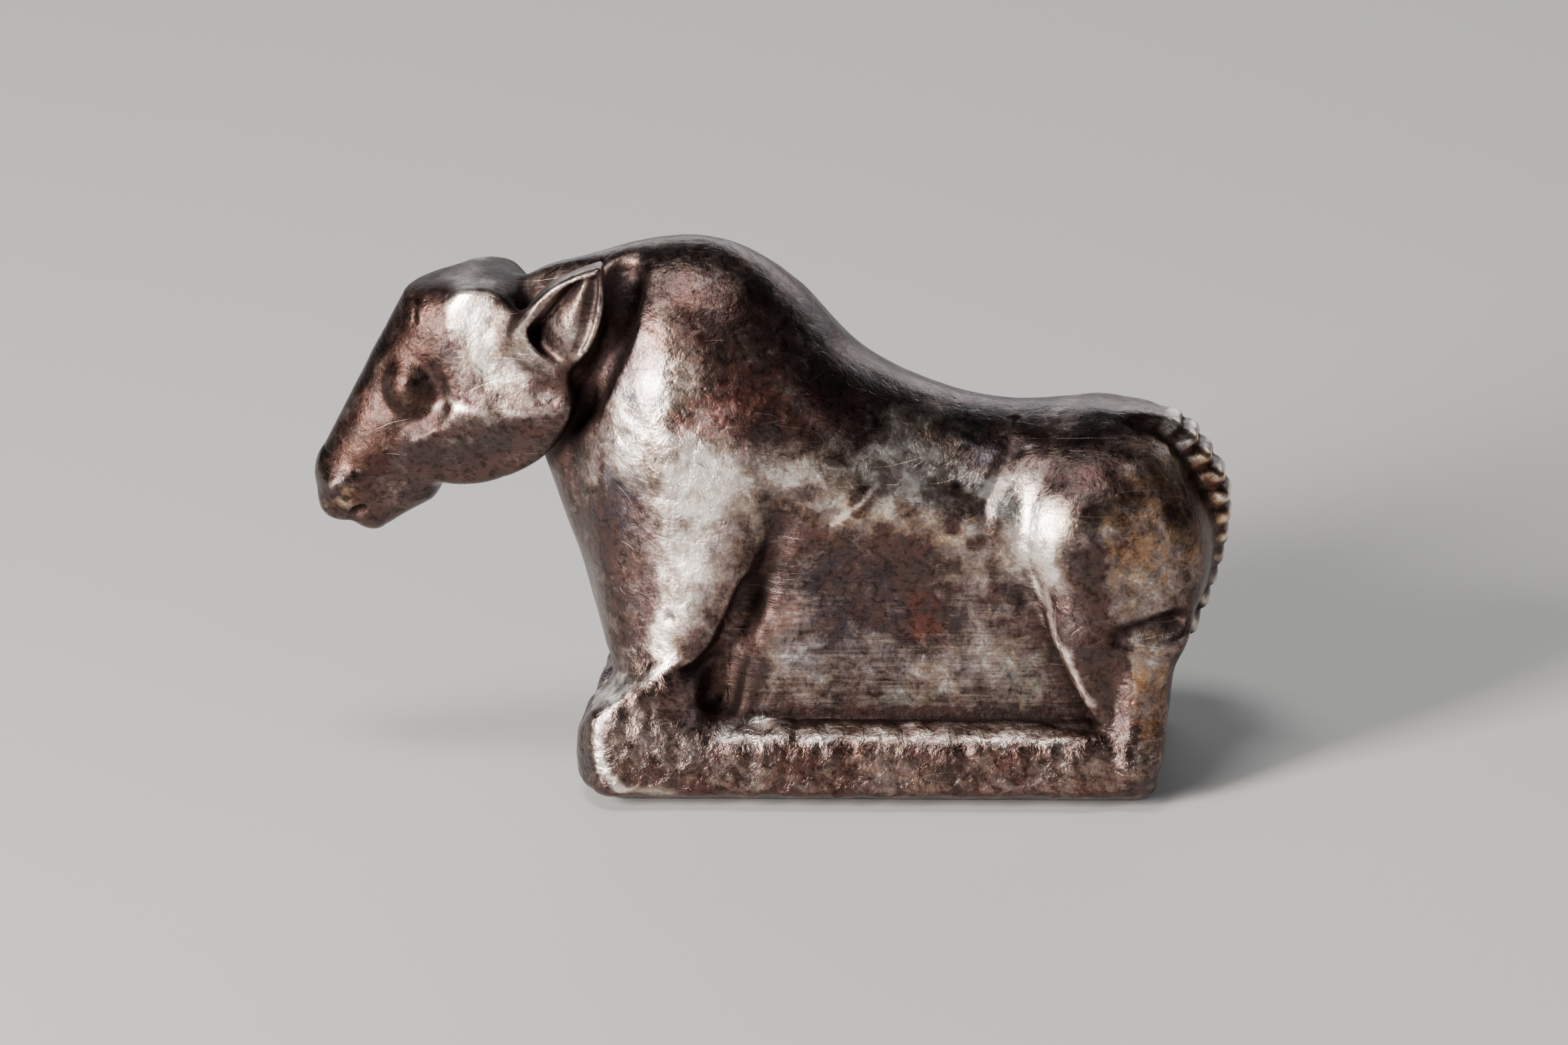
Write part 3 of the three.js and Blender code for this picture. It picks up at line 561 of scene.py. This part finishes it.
# Where wear has bared the silver, and where highlights are painted on as bare silver (the temple, eye, lip,
# cheek's ridge, shoulder, arm and haunch): the middle of each patch along X and Z, its radii, turn and amount
WORN_AND_HIGHLIT = {
    # The temple, eye, lip, cheek's ridge, shoulder and arm patches are painted highlights as well as wear.
    "temple": (-29.4, 36.4, 2.1, 3.6, 12, 0.95),
    "temple, towards the ear": (-26.4, 34.4, 2.6, 2.0, 0, 0.45),
    "cheek": (-27.5, 31.4, 4.5, 2.6, 0, 0.26),
    "end of the cheek's ridge": (-31.4, 29.4, 2.0, 0.5, 0, 0.7),
    "along the cheek's ridge": (-25.5, 29.6, 4.0, 0.5, 0, 0.35),
    "eye": (-33.4, 31.6, 0.9, 0.9, 0, 0.5),
    "under the eye": (-35.2, 29.4, 1.0, 1.3, 0, 0.35),
    "nose": (-35.8, 25.5, 2.6, 1.0, 38, 0.15),
    "lip": (-39.8, 22.6, 1.0, 1.8, -15, 0.55),
    "chip on the brow": (-33.9, 36.4, 0.25, 0.7, -8, 1.0),
    "neck": (-16.4, 31.8, 2.6, 4.6, -35, 0.65),
    "shoulder": (-14.4, 26.8, 4.4, 3.8, 0, 0.85),
    "back of the shoulder": (-9.0, 26.0, 4.0, 3.0, 0, 0.35),
    "front of the arm": (-14.2, 18.8, 2.2, 7.4, -3, 0.7),
    "side of the arm": (-11.5, 19.5, 2.6, 5.0, -15, 0.25),
    "foot of the arm": (-15.3, 13.2, 1.1, 2.8, 15, 0.6),
    "breast fold": (-21.3, 25.7, 1.4, 0.9, 30, 0.45),
    "flank": (0.5, 25.2, 10.2, 4.2, -4, 0.64),
    "flank beside the haunch": (9.3, 24.0, 1.5, 1.3, 0, 0.6),
    "front of the wall": (-7.4, 12.6, 2.6, 5.8, -10, 0.32),
    "foot of the wall": (1.0, 10.4, 9.0, 3.4, 0, 0.24),
    "rear of the wall": (9.6, 11.4, 3.4, 5.4, 18, 0.30),
    "upper rear of the wall": (7.2, 19.0, 2.4, 4.0, 0, 0.34),
    # A painted highlight on the bulge of the haunch, over its wear.
    "haunch": (11.8, 20.6, 2.3, 4.8, 8, 0.85),
    "round the haunch": (12.6, 21.0, 3.0, 6.4, 8, 0.3),
    "top of the haunch": (13.6, 27.0, 1.6, 3.2, -20, 0.12),
    "rear of the haunch": (20.6, 21.4, 3.6, 6.6, 0, 0.34),
    "hock": (20.8, 10.4, 1.8, 4.8, 0, 0.32),
    "hump": (-12.5, 37.0, 5.0, 3.0, 30, 0.12),
    "bar": (0.0, 3.0, 24.0, 3.0, 0, 0.06),
}

# Darker places, as above: darker patina, and painted shade on the breast, the back, under the jaw, round the
# brow, in the dark band of the haunch and on the edge of the hock, with a painted shadow behind the foreleg
DARK = {
    "dark band of the haunch": (16.2, 20.0, 1.6, 8.0, 0, 0.35),
    "foot of the thigh": (18.0, 10.0, 1.4, 6.0, 0, 0.3),
    "middle of the wall": (1.0, 16.4, 5.5, 2.8, 0, 0.28),
    "breast": (-19.6, 20.0, 2.0, 6.0, 8, 0.25),
    # Painted shade on the back, which faces up.
    "back": (2.0, 33.0, 14.0, 4.0, -14, 0.14),
    # Painted shade under the jaw, which faces down.
    "jaw": (-31.0, 25.4, 7.0, 2.4, 14, 0.25),
    "upper cheek hollow": (-23.6, 31.6, 1.6, 1.0, 0, 0.6),
    "lower cheek hollow": (-25.0, 28.6, 1.9, 0.9, 0, 0.5),
    "back of the brow": (-32.8, 35.6, 1.5, 4.6, 20, 0.5),
    "front of the face": (-36.5, 29.5, 3.4, 9.0, -28, 0.36),
    # A painted shadow behind the foreleg.
    "edge behind the foreleg": (-8.9, 11.2, 0.9, 5.5, -15, 0.5),
    "below the hump": (-6.0, 33.0, 9.0, 3.6, -30, 0.12),
    # Painted shade over the lit edge of the hock.
    "edge of the hock": (19.1, 7.5, 0.8, 4.5, 0, 0.35),
    "front of the haunch, above": (10.6, 27.0, 2.6, 2.6, 0, 0.2),
}

# Stains: as above, and how they tint the metal under them. The blue under the eye is a painted bluish
# reflection, the blue on the breast a painted bluish sheen, and the gold on the lip tints its painted
# highlight
STAINS = {
    "brown on the face": (-35.8, 30.5, 3.8, 10.0, -28, 0.95, (0.70, 0.62, 0.57)),
    "brown on the bar": (4.0, 3.0, 24.0, 3.4, 0, 0.66, (0.96, 0.82, 0.78)),
    "brown on the hump": (-12.0, 37.0, 6.0, 4.0, 30, 0.62, (1.05, 0.90, 0.84)),
    "gold on the haunch": (20.6, 22.0, 4.0, 7.0, 0, 0.62, (1.38, 1.12, 0.80)),
    "gold on the hock": (20.8, 9.0, 2.4, 5.0, 0, 0.55, (1.4, 1.08, 0.74)),
    "gold on the tail": (25.0, 22.5, 2.6, 8.0, 0, 0.75, (1.3, 1.08, 0.80)),
    # The gold on the lip tints a painted highlight.
    "gold on the lip": (-39.8, 21.9, 1.8, 1.8, 0, 0.6, (1.35, 1.10, 0.80)),
    "gold on the flank": (2.0, 22.0, 9.0, 3.5, 0, 0.50, (1.2, 1.05, 0.85)),
    "blue on the wall": (-1.0, 16.0, 7.0, 3.8, 0, 0.66, (0.70, 0.80, 0.96)),
    "grey on the wall": (0.0, 13.0, 13.0, 6.5, 0, 0.50, (0.90, 0.97, 1.10)),
    # A painted bluish sheen on the breast.
    "blue on the breast": (-18.6, 23.0, 2.2, 3.8, 0, 0.70, (0.85, 1.0, 1.25)),
    # A painted bluish reflection under the eye.
    "blue under the eye": (-35.0, 29.2, 1.6, 1.6, 0, 0.85, (0.80, 0.95, 1.25)),
    "blue over the flank": (7.6, 28.0, 3.0, 2.4, 0, 0.75, (0.60, 0.70, 0.85)),
    "blue on the neck": (-18.0, 33.0, 3.0, 4.0, 0, 0.60, (0.85, 0.95, 1.1)),
    "red on the wall": (3.6, 14.8, 2.0, 3.0, 0, 0.58, (1.3, 0.92, 0.85)),
    "red on the shoulder": (-9.5, 31.0, 7.0, 3.0, 0, 0.66, (1.35, 0.96, 0.90)),
    "pink on the wall": (-7.6, 14.0, 2.6, 4.0, -10, 0.65, (1.18, 0.98, 0.96)),
    "green at the arm": (-8.6, 8.8, 2.8, 1.8, 0, 0.54, (0.92, 1.10, 0.94)),
    "green at the thigh": (12.0, 10.0, 2.8, 3.2, 30, 0.54, (0.90, 1.08, 1.04)),
    "green along the sill": (2.0, 8.0, 9.0, 1.0, 0, 0.54, (0.88, 1.08, 1.04)),
    "green over the haunch": (11.6, 29.4, 0.4, 0.9, -35, 1.2, (2.4, 4.6, 4.4)),
}

# Places where the silver shows between dark blots
BLOTTED = {
    "flank and wall": (1.0, 21.5, 10.5, 7.0, 0, 0.55),
    "cheek": (-25.5, 30.0, 4.5, 3.5, 0, 0.3),
    "shoulder": (-13.5, 27.0, 6.0, 8.0, 0, 0.4),
}

# Sharp edges that are worn bright along a line, the ridges of the knee and the front of the haunch also with
# a painted highlight along them: two ends in the side view, half a width, and an amount
WORN_AND_HIGHLIT_EDGES = [
    ((12.0, 17.6), (16.1, 8.2), 0.55, 1.1),
    ((-15.2, 11.2), (-19.0, 8.9), 0.6, 1.1),
    ((-19.0, 8.9), (-20.6, 7.0), 0.6, 1.2),
    ((-20.6, 7.0), (-20.3, 3.6), 0.6, 1.1),
    ((-20.3, 3.6), (-18.8, 1.9), 0.6, 1.0),
    ((-18.8, 1.9), (-14.5, 1.4), 0.6, 0.8),
    ((-2.6, 22.2), (0.6, 25.2), 0.3, 0.9),
    ((10.0, 27.4), (12.3, 30.0), 0.3, 0.6),
]

# A painted shadow behind the foreleg, the patch over the ear's cup, and how far from a point its hollow is
# felt
BEHIND_FORELEG = ((-8.0, 15.5), (-10.4, 6.9))
EAR_CUP = (-22.2, 36.4, 2.6, 2.8, 40)
BEND_REACH = 0.5
SHUT_REACH = 1.6


def grime_and_shade_mask(points, normals, bend, shut, in_ear):
    """Painted shade in the hollows and the grooves, with grime there too; painted shadows along the front of
    the haunch, under the fold over the hock and behind the foreleg; and a painted darkening of the poll.
    """
    x, y, z = points.T
    # Painted shade where the metal is hollow or shut in, with grime there too.
    grime_and_shade = 0.8 * smooth_step(0.2, 0.65, shut) + 0.4 * smooth_step(-0.6, -2.0, bend)
    grime_and_shade *= 1 - 0.5 * smooth_step(-9.5, -11, y)
    grime_and_shade *= 1 - 0.8 * in_ear
    # Painted shade on the poll, which faces up.
    on_poll = (normals[:, 2] > 0.6) * smooth_step(-24, -26, x) * smooth_step(36, 38, z)
    # Painted shadows along the haunch's front edge, under the fold over the hock and behind the foreleg.
    grime_and_shade += 0.5 * near_lines(points, HAUNCH_EDGE, 0.7) + 0.9 * near_lines(points, HOCK_FOLD, 1.0)
    return grime_and_shade + 0.7 * on_poll + near_line(points, *BEHIND_FORELEG, 1.3)


def tail_wear(points):
    """Wear on the tail's strip, brightest on the crowns between its notches."""
    x, y, z = points.T
    around, reach, ripple = round_tail(x, np.abs(y), z)
    on_tail = (np.abs(y) < TAIL_HALF + 0.6) * (x > 17.2) * smooth_step(9.2, 10.4, reach) * (around < 60)
    return on_tail * (0.15 + 0.45 * smooth_step(0.4, 0.9, ripple))


def wear_and_highlight_mask(points, strayed, normals, bend, shut, in_ear):
    """How far wear has bared the silver, with painted highlights laid on as bare silver: in patches, on
    edges, the rim, the tail and the ear's cup, and less in hollows.
    """
    z = points[:, 2]
    worn_and_highlit = 0.14 + 0.10 * noise(points, 6, 11)
    for *place, amount in WORN_AND_HIGHLIT.values():
        worn_and_highlit += amount * patch(strayed, *place)
    for *place, amount in DARK.values():
        worn_and_highlit -= amount * patch(strayed, *place)
    blots = smooth_step(0.0, 0.45, noise(points, (1.7, 1.7, 1.4), 18))
    for *place, amount in BLOTTED.values():
        worn_and_highlit -= amount * blots * patch(strayed, *place)
    for start, end, width, amount in WORN_AND_HIGHLIT_EDGES:
        worn_and_highlit += amount * near_line(strayed * 0.35 + points * 0.65, start, end, width)
    # The rim: worn, with a painted highlight along it.
    worn_and_highlit += rim_mask(points, 8.7, 5.2, 7.0, -11.6) * (0.6 + 0.5 * noise(points, 1.2, 19))
    worn_and_highlit += 0.05 * smooth_step(7, 5, z)
    worn_and_highlit += tail_wear(points)
    worn_and_highlit += 0.30 * smooth_step(0.5, 2.2, bend) - 0.5 * smooth_step(0.2, 0.6, shut) * (1 - in_ear)
    # A painted highlight on the lit slope inside the ear's cup.
    worn_and_highlit += 0.25 * in_ear
    # Darker on faces that turn downward.
    return worn_and_highlit - 0.2 * smooth_step(-0.1, -0.5, normals[:, 2])


def wrinkled_mask(points, strayed):
    """Where the casting is wrinkled: neck and shoulder, the haunch a little, the bar and the knee most."""
    x, y, z = points.T
    low = 1.5 * smooth_step(8, 5.5, z) + 1.2 * smooth_step(-13, -16, x) * smooth_step(13, 11, z)
    return 0.7 * patch(strayed, -15.5, 28, 5, 8) + 0.5 * patch(strayed, 11.5, 21, 3, 5) + low


def stain_mask(points, strayed):
    """How much each point is stained, and with which tint."""
    tint = np.ones((len(points), 4))
    spread = np.zeros(len(points))
    for *place, amount, colour in STAINS.values():
        here = amount * patch(strayed, *place) * (np.abs(points[:, 1]) > 1)
        tint[here > spread, :3] = colour
        spread = np.maximum(spread, here)
    return spread, tint


def strayed_from(points):
    """The points moved about by noise, so that the edges of patches wander."""
    strayed = points.copy()
    strayed[:, 0] += 1.3 * noise(points, 2.6, 14) + 0.5 * noise(points, 0.9, 15)
    strayed[:, 2] += 1.3 * noise(points, 2.6, 16) + 0.5 * noise(points, 0.9, 17)
    return strayed


def add_masks(mesh):
    """Per-point masks for the finish: worn metal and painted highlights, grime and painted shade, wrinkles of
    the casting, and stains.
    """
    flat = np.empty(3 * len(mesh.vertices))
    mesh.vertices.foreach_get("co", flat)
    points = flat.reshape(-1, 3) / MM
    slope = slope_at(points)
    normals = slope / np.linalg.norm(slope, axis=1, keepdims=True)
    here = field_at(points)
    steps = BEND_REACH * np.eye(3)
    bend = sum(field_at(points + step) + field_at(points - step) - 2 * here for step in steps)
    bend /= BEND_REACH ** 2
    shut = 1 - (field_at(points + SHUT_REACH * normals) - here) / SHUT_REACH
    in_ear = patch(points, *EAR_CUP) * smooth_step(-4.5, -6, points[:, 1])
    strayed = strayed_from(points)
    spread, tint = stain_mask(points, strayed)

    masks = {
        "worn_and_highlit": wear_and_highlight_mask(points, strayed, normals, bend, shut, in_ear),
        "grime_and_shade": grime_and_shade_mask(points, normals, bend, shut, in_ear),
        "wrinkled": wrinkled_mask(points, strayed),
        "rubbed": wall_mask(points, 21, 15),
        "stained": spread,
    }
    for name, values in masks.items():
        layer = mesh.attributes.new(name, "FLOAT", "POINT")
        layer.data.foreach_set("value", np.clip(values, 0, 1.6).astype(np.float32))
    layer = mesh.attributes.new("stain", "FLOAT_COLOR", "POINT")
    layer.data.foreach_set("color", tint.ravel().astype(np.float32))


class Nodes:
    """Short forms for building a material's node tree."""

    def __init__(self, name):
        self.material = bpy.data.materials.new(name)
        self.material.use_nodes = True
        self.tree = self.material.node_tree
        self.shader = self.tree.nodes["Principled BSDF"]
        self.place = self.tree.nodes.new("ShaderNodeTexCoord").outputs["Object"]

    def attribute(self, name, output):
        node = self.tree.nodes.new("ShaderNodeAttribute")
        node.attribute_name = name
        return node.outputs[output]

    def link(self, source, socket):
        if isinstance(source, (int, float, tuple)):
            socket.default_value = source
        else:
            self.tree.links.new(source, socket)

    def mask(self, name, strength=None):
        value = self.attribute(name, "Fac")
        return value if strength is None else self.math("MULTIPLY", value, strength)

    def stretched(self, scale, turn=(0, 0, 0)):
        node = self.tree.nodes.new("ShaderNodeMapping")
        self.link(self.place, node.inputs["Vector"])
        node.inputs["Scale"].default_value = scale
        node.inputs["Rotation"].default_value = turn
        return node.outputs["Vector"]

    def noise(self, scale, detail=4.0, rough=0.6, swirl=0.0, vector=None):
        node = self.tree.nodes.new("ShaderNodeTexNoise")
        self.link(vector or self.place, node.inputs["Vector"])
        node.inputs["Scale"].default_value = scale
        node.inputs["Detail"].default_value = detail
        node.inputs["Roughness"].default_value = rough
        node.inputs["Distortion"].default_value = swirl
        return node.outputs["Fac"]

    def around(self, value, gain):
        """A noise value as an offset around nothing, made stronger."""
        return self.math("MULTIPLY", self.math("SUBTRACT", value, 0.5), gain)

    def total(self, *values):
        """The sum of several values."""
        result = values[0]
        for value in values[1:]:
            result = self.math("ADD", result, value)
        return result

    def hairlines(self, scale, width, vector=None):
        """Thin broken lines, where a smooth noise passes through its middle value."""
        away = self.math("ABSOLUTE", self.math("SUBTRACT", self.noise(scale, 1, 0.5, 0, vector), 0.5))
        broken = self.ramp(self.noise(scale * 1.7, 2, 0.5), 0.48, 0.56)
        return self.math("MULTIPLY", self.ramp(away, 0, width, 1, 0), broken)

    def spots(self, scale):
        node = self.tree.nodes.new("ShaderNodeTexVoronoi")
        self.link(self.place, node.inputs["Vector"])
        node.inputs["Scale"].default_value = scale
        return node.outputs["Distance"]

    def ramp(self, value, low, high, to_low=0.0, to_high=1.0):
        node = self.tree.nodes.new("ShaderNodeMapRange")
        node.interpolation_type = "SMOOTHSTEP"
        self.link(value, node.inputs["Value"])
        node.inputs["From Min"].default_value = low
        node.inputs["From Max"].default_value = high
        node.inputs["To Min"].default_value = to_low
        node.inputs["To Max"].default_value = to_high
        return node.outputs["Result"]

    def math(self, kind, a, b=None):
        node = self.tree.nodes.new("ShaderNodeMath")
        node.operation = kind
        for value, socket in zip((a, b), node.inputs):
            if value is not None:
                self.link(value, socket)
        return node.outputs["Value"]

    def mix(self, amount, a, b, kind="MIX"):
        node = self.tree.nodes.new("ShaderNodeMix")
        node.data_type = "RGBA"
        node.blend_type = kind
        self.link(amount, node.inputs["Factor"])
        self.link(a, node.inputs["A"])
        self.link(b, node.inputs["B"])
        return node.outputs["Result"]

    def bump(self, height, strength, distance):
        node = self.tree.nodes.new("ShaderNodeBump")
        node.inputs["Strength"].default_value = strength
        node.inputs["Distance"].default_value = distance
        self.link(height, node.inputs["Height"])
        self.link(node.outputs["Normal"], self.shader.inputs["Normal"])


# Colours of the finish: the two tones that each state of the metal wavers between, and the plain ones
UMBER = (0.112, 0.064, 0.056, 1), (0.080, 0.057, 0.054, 1)
HALF_WORN = (0.31, 0.228, 0.185, 1), (0.265, 0.205, 0.190, 1)
SILVER = (0.58, 0.47, 0.42, 1), (0.88, 0.81, 0.75, 1)
BLACK_PATINA = (0.040, 0.026, 0.024, 1)
# The colour of grime and of painted shade.
GRIME_AND_SHADE = (0.018, 0.012, 0.011, 1)
SCRATCHED = (0.55, 0.48, 0.43, 1)


def silver_colour(n, bare_and_highlit, scratches):
    """Black and umber patina, half-worn metal and bare silver in turn, the bare silver also standing for
    painted highlights, then stains, grime and painted shade, and scratches.
    """
    umber = n.mix(n.ramp(n.noise(330, 4, 0.6, 0.5), 0.40, 0.60), *UMBER)
    patina = n.mix(n.ramp(n.noise(1700, 6, 0.70, 0.4), 0.34, 0.56), BLACK_PATINA, umber)
    half_worn = n.mix(n.ramp(n.noise(420, 5, 0.65, 0.5), 0.42, 0.58), *HALF_WORN)
    silver = n.mix(n.ramp(n.noise(640, 8, 0.65, 0.5), 0.38, 0.54), *SILVER)
    colour = n.mix(n.ramp(bare_and_highlit, 0.05, 0.6), patina, half_worn)
    colour = n.mix(n.ramp(bare_and_highlit, 0.45, 1.0), colour, silver)

    spread = n.total(n.around(n.noise(900, 9, 0.72, 0.5), 2.6), n.mask("stained"))
    colour = n.mix(n.ramp(spread, 0.35, 0.75), colour, n.attribute("stain", "Color"), "MULTIPLY")
    # Grime and painted shade darken the colour.
    colour = n.mix(n.mask("grime_and_shade", 0.8), colour, GRIME_AND_SHADE)
    return n.mix(n.math("MULTIPLY", scratches, 0.12), colour, SCRATCHED)


def silver_material():
    """Silver under a brown patina, with highlights painted on as bare silver: bare and brown metal mottle
    each other down to the grain.
    """
    n = Nodes("silver")
    cloud = n.noise(260, 5, 0.6, 0.4)
    mottle = n.noise(850, 8, 0.62, 0.6)
    grain = n.noise(3800, 3, 0.65)
    streaks = n.noise(1400, 3, 0.6, 0.3, n.stretched((0.14, 1, 2.2), (0, 0.05, 0)))
    rising = n.hairlines(150, 0.004, n.stretched((0.08, 1, 1.6), (0, 0.9, 0)))
    falling = n.hairlines(190, 0.004, n.stretched((0.08, 1, 1.8), (0, -0.35, 0)))
    scratches = n.math("MAXIMUM", rising, falling)

    # Bareness from wear and from painted highlights, mottled.
    worn_and_highlit = n.total(n.mask("worn_and_highlit"), n.around(cloud, 1.4), n.around(mottle, 1.35), n.around(grain, 0.7))
    worn_and_highlit = n.total(worn_and_highlit, n.math("MULTIPLY", n.mask("rubbed"), n.around(streaks, 0.8)))
    bare_and_highlit = n.math("MINIMUM", n.math("MAXIMUM", n.math("MULTIPLY", worn_and_highlit, 0.9), 0), 1)
    n.link(silver_colour(n, bare_and_highlit, scratches), n.shader.inputs["Base Color"])

    n.shader.inputs["Metallic"].default_value = 1
    rough = n.total(n.ramp(bare_and_highlit, 0, 1, 0.33, 0.27), n.around(mottle, 0.3), n.around(cloud, 0.3))
    n.link(n.total(rough, n.mask("grime_and_shade", 0.3)), n.shader.inputs["Roughness"])

    pitted = n.ramp(n.noise(700, 2, 0.5), 0.50, 0.62)
    pits = n.math("MULTIPLY", n.ramp(n.spots(1300), 0.08, 0.30, -1, 0), pitted)
    wrinkles = n.math("MULTIPLY", n.noise(1000, 4, 0.6, 0.5), n.mask("wrinkled", 1.8))
    rubbing = n.math("MULTIPLY", streaks, n.mask("rubbed"))
    heights = ((mottle, 0.6), (grain, 0.3), (pits, 0.2), (scratches, -0.1))
    height = n.total(wrinkles, rubbing, *[n.math("MULTIPLY", value, gain) for value, gain in heights])
    n.bump(height, 0.8, 0.00012)
    return n.material


# The photograph's frame: its size, where the origin is in it, and its scale at a plane before the origin
ACROSS, DOWN = 2353, 1568
ORIGIN_ACROSS, ORIGIN_DOWN = 1328, 1140
PIXELS_PER_MM = 20
SCALED_BEFORE_ORIGIN = 6.43

# Its camera: angles in radians, and the distance and the sensor's width in millimetres
AZIMUTH, ELEVATION, ROLL = np.radians(5), np.radians(20), 0.0285
CAMERA_DISTANCE = 600
SENSOR = 36


def make_camera():
    """The photograph's view: from the left side, a little above and behind the middle."""
    level = np.array([np.cos(AZIMUTH), np.sin(AZIMUTH), 0])
    outward = np.array([np.sin(AZIMUTH), -np.cos(AZIMUTH), 0])
    back = outward * np.cos(ELEVATION) + np.array([0, 0, np.sin(ELEVATION)])
    upright = np.cross(back, level)
    right = level * np.cos(ROLL) - upright * np.sin(ROLL)
    up = upright * np.cos(ROLL) + level * np.sin(ROLL)
    aim = right * (ACROSS / 2 - ORIGIN_ACROSS) / PIXELS_PER_MM
    aim = aim + up * (ORIGIN_DOWN - DOWN / 2) / PIXELS_PER_MM + back * SCALED_BEFORE_ORIGIN

    data = bpy.data.cameras.new("camera")
    data.sensor_width = SENSOR
    data.lens = SENSOR * CAMERA_DISTANCE / (ACROSS / PIXELS_PER_MM)
    data.clip_start, data.clip_end = 0.01, 20
    camera = bpy.data.objects.new("camera", data)
    turn = Matrix(np.stack([right, up, back], axis=1).tolist()).to_4x4()
    camera.matrix_world = Matrix.Translation(Vector((aim + back * CAMERA_DISTANCE) * MM)) @ turn
    bpy.context.collection.objects.link(camera)
    bpy.context.scene.camera = camera


# Soft lights, in metres and watts: where each stands, its size, its power and its colour
LIGHTS = {
    "key": ((-0.44, -0.40, 0.20), (0.16, 0.40), 11, (1.0, 0.95, 0.90)),
    "top": ((-0.10, -0.15, 0.65), (0.25, 0.15), 2.0, (1.0, 0.98, 0.96)),
    "fill": ((0.50, -0.40, 0.20), (0.2, 0.3), 0.4, (0.95, 0.97, 1.0)),
    "rim": ((0.0, 0.60, 0.22), (0.9, 0.05), 1.5, (0.93, 0.96, 1.0)),
}
LIT_POINT = Vector((-0.008, 0, 0.02))
FLOOR_REACH = 4.0


def add_light(name, place, size, power, colour):
    data = bpy.data.lights.new(name, "AREA")
    data.shape = "RECTANGLE"
    data.size, data.size_y = size
    data.energy = power
    data.color = colour
    light = bpy.data.objects.new(name, data)
    light.location = place
    light.rotation_euler = (LIT_POINT - Vector(place)).to_track_quat("-Z", "Y").to_euler()
    bpy.context.collection.objects.link(light)


def make_studio():
    for name, light in LIGHTS.items():
        add_light(name, *light)

    world = bpy.data.worlds.new("world")
    bpy.context.scene.world = world
    world.use_nodes = True
    world.node_tree.nodes["Background"].inputs["Color"].default_value = (0.86, 0.88, 0.9, 1)
    world.node_tree.nodes["Background"].inputs["Strength"].default_value = 0.06

    mesh = bpy.data.meshes.new("floor")
    corners = [(x * FLOOR_REACH, y * FLOOR_REACH, 0) for x, y in ((-1, -1), (1, -1), (1, 1), (-1, 1))]
    mesh.from_pydata(corners, [], [(0, 1, 2, 3)])
    floor = bpy.data.objects.new("floor", mesh)
    bpy.context.collection.objects.link(floor)
    n = Nodes("floor")
    n.shader.inputs["Base Color"].default_value = (0.62, 0.615, 0.60, 1)
    n.shader.inputs["Roughness"].default_value = 0.7
    mesh.materials.append(n.material)


make_camera()
make_bull()
make_studio()
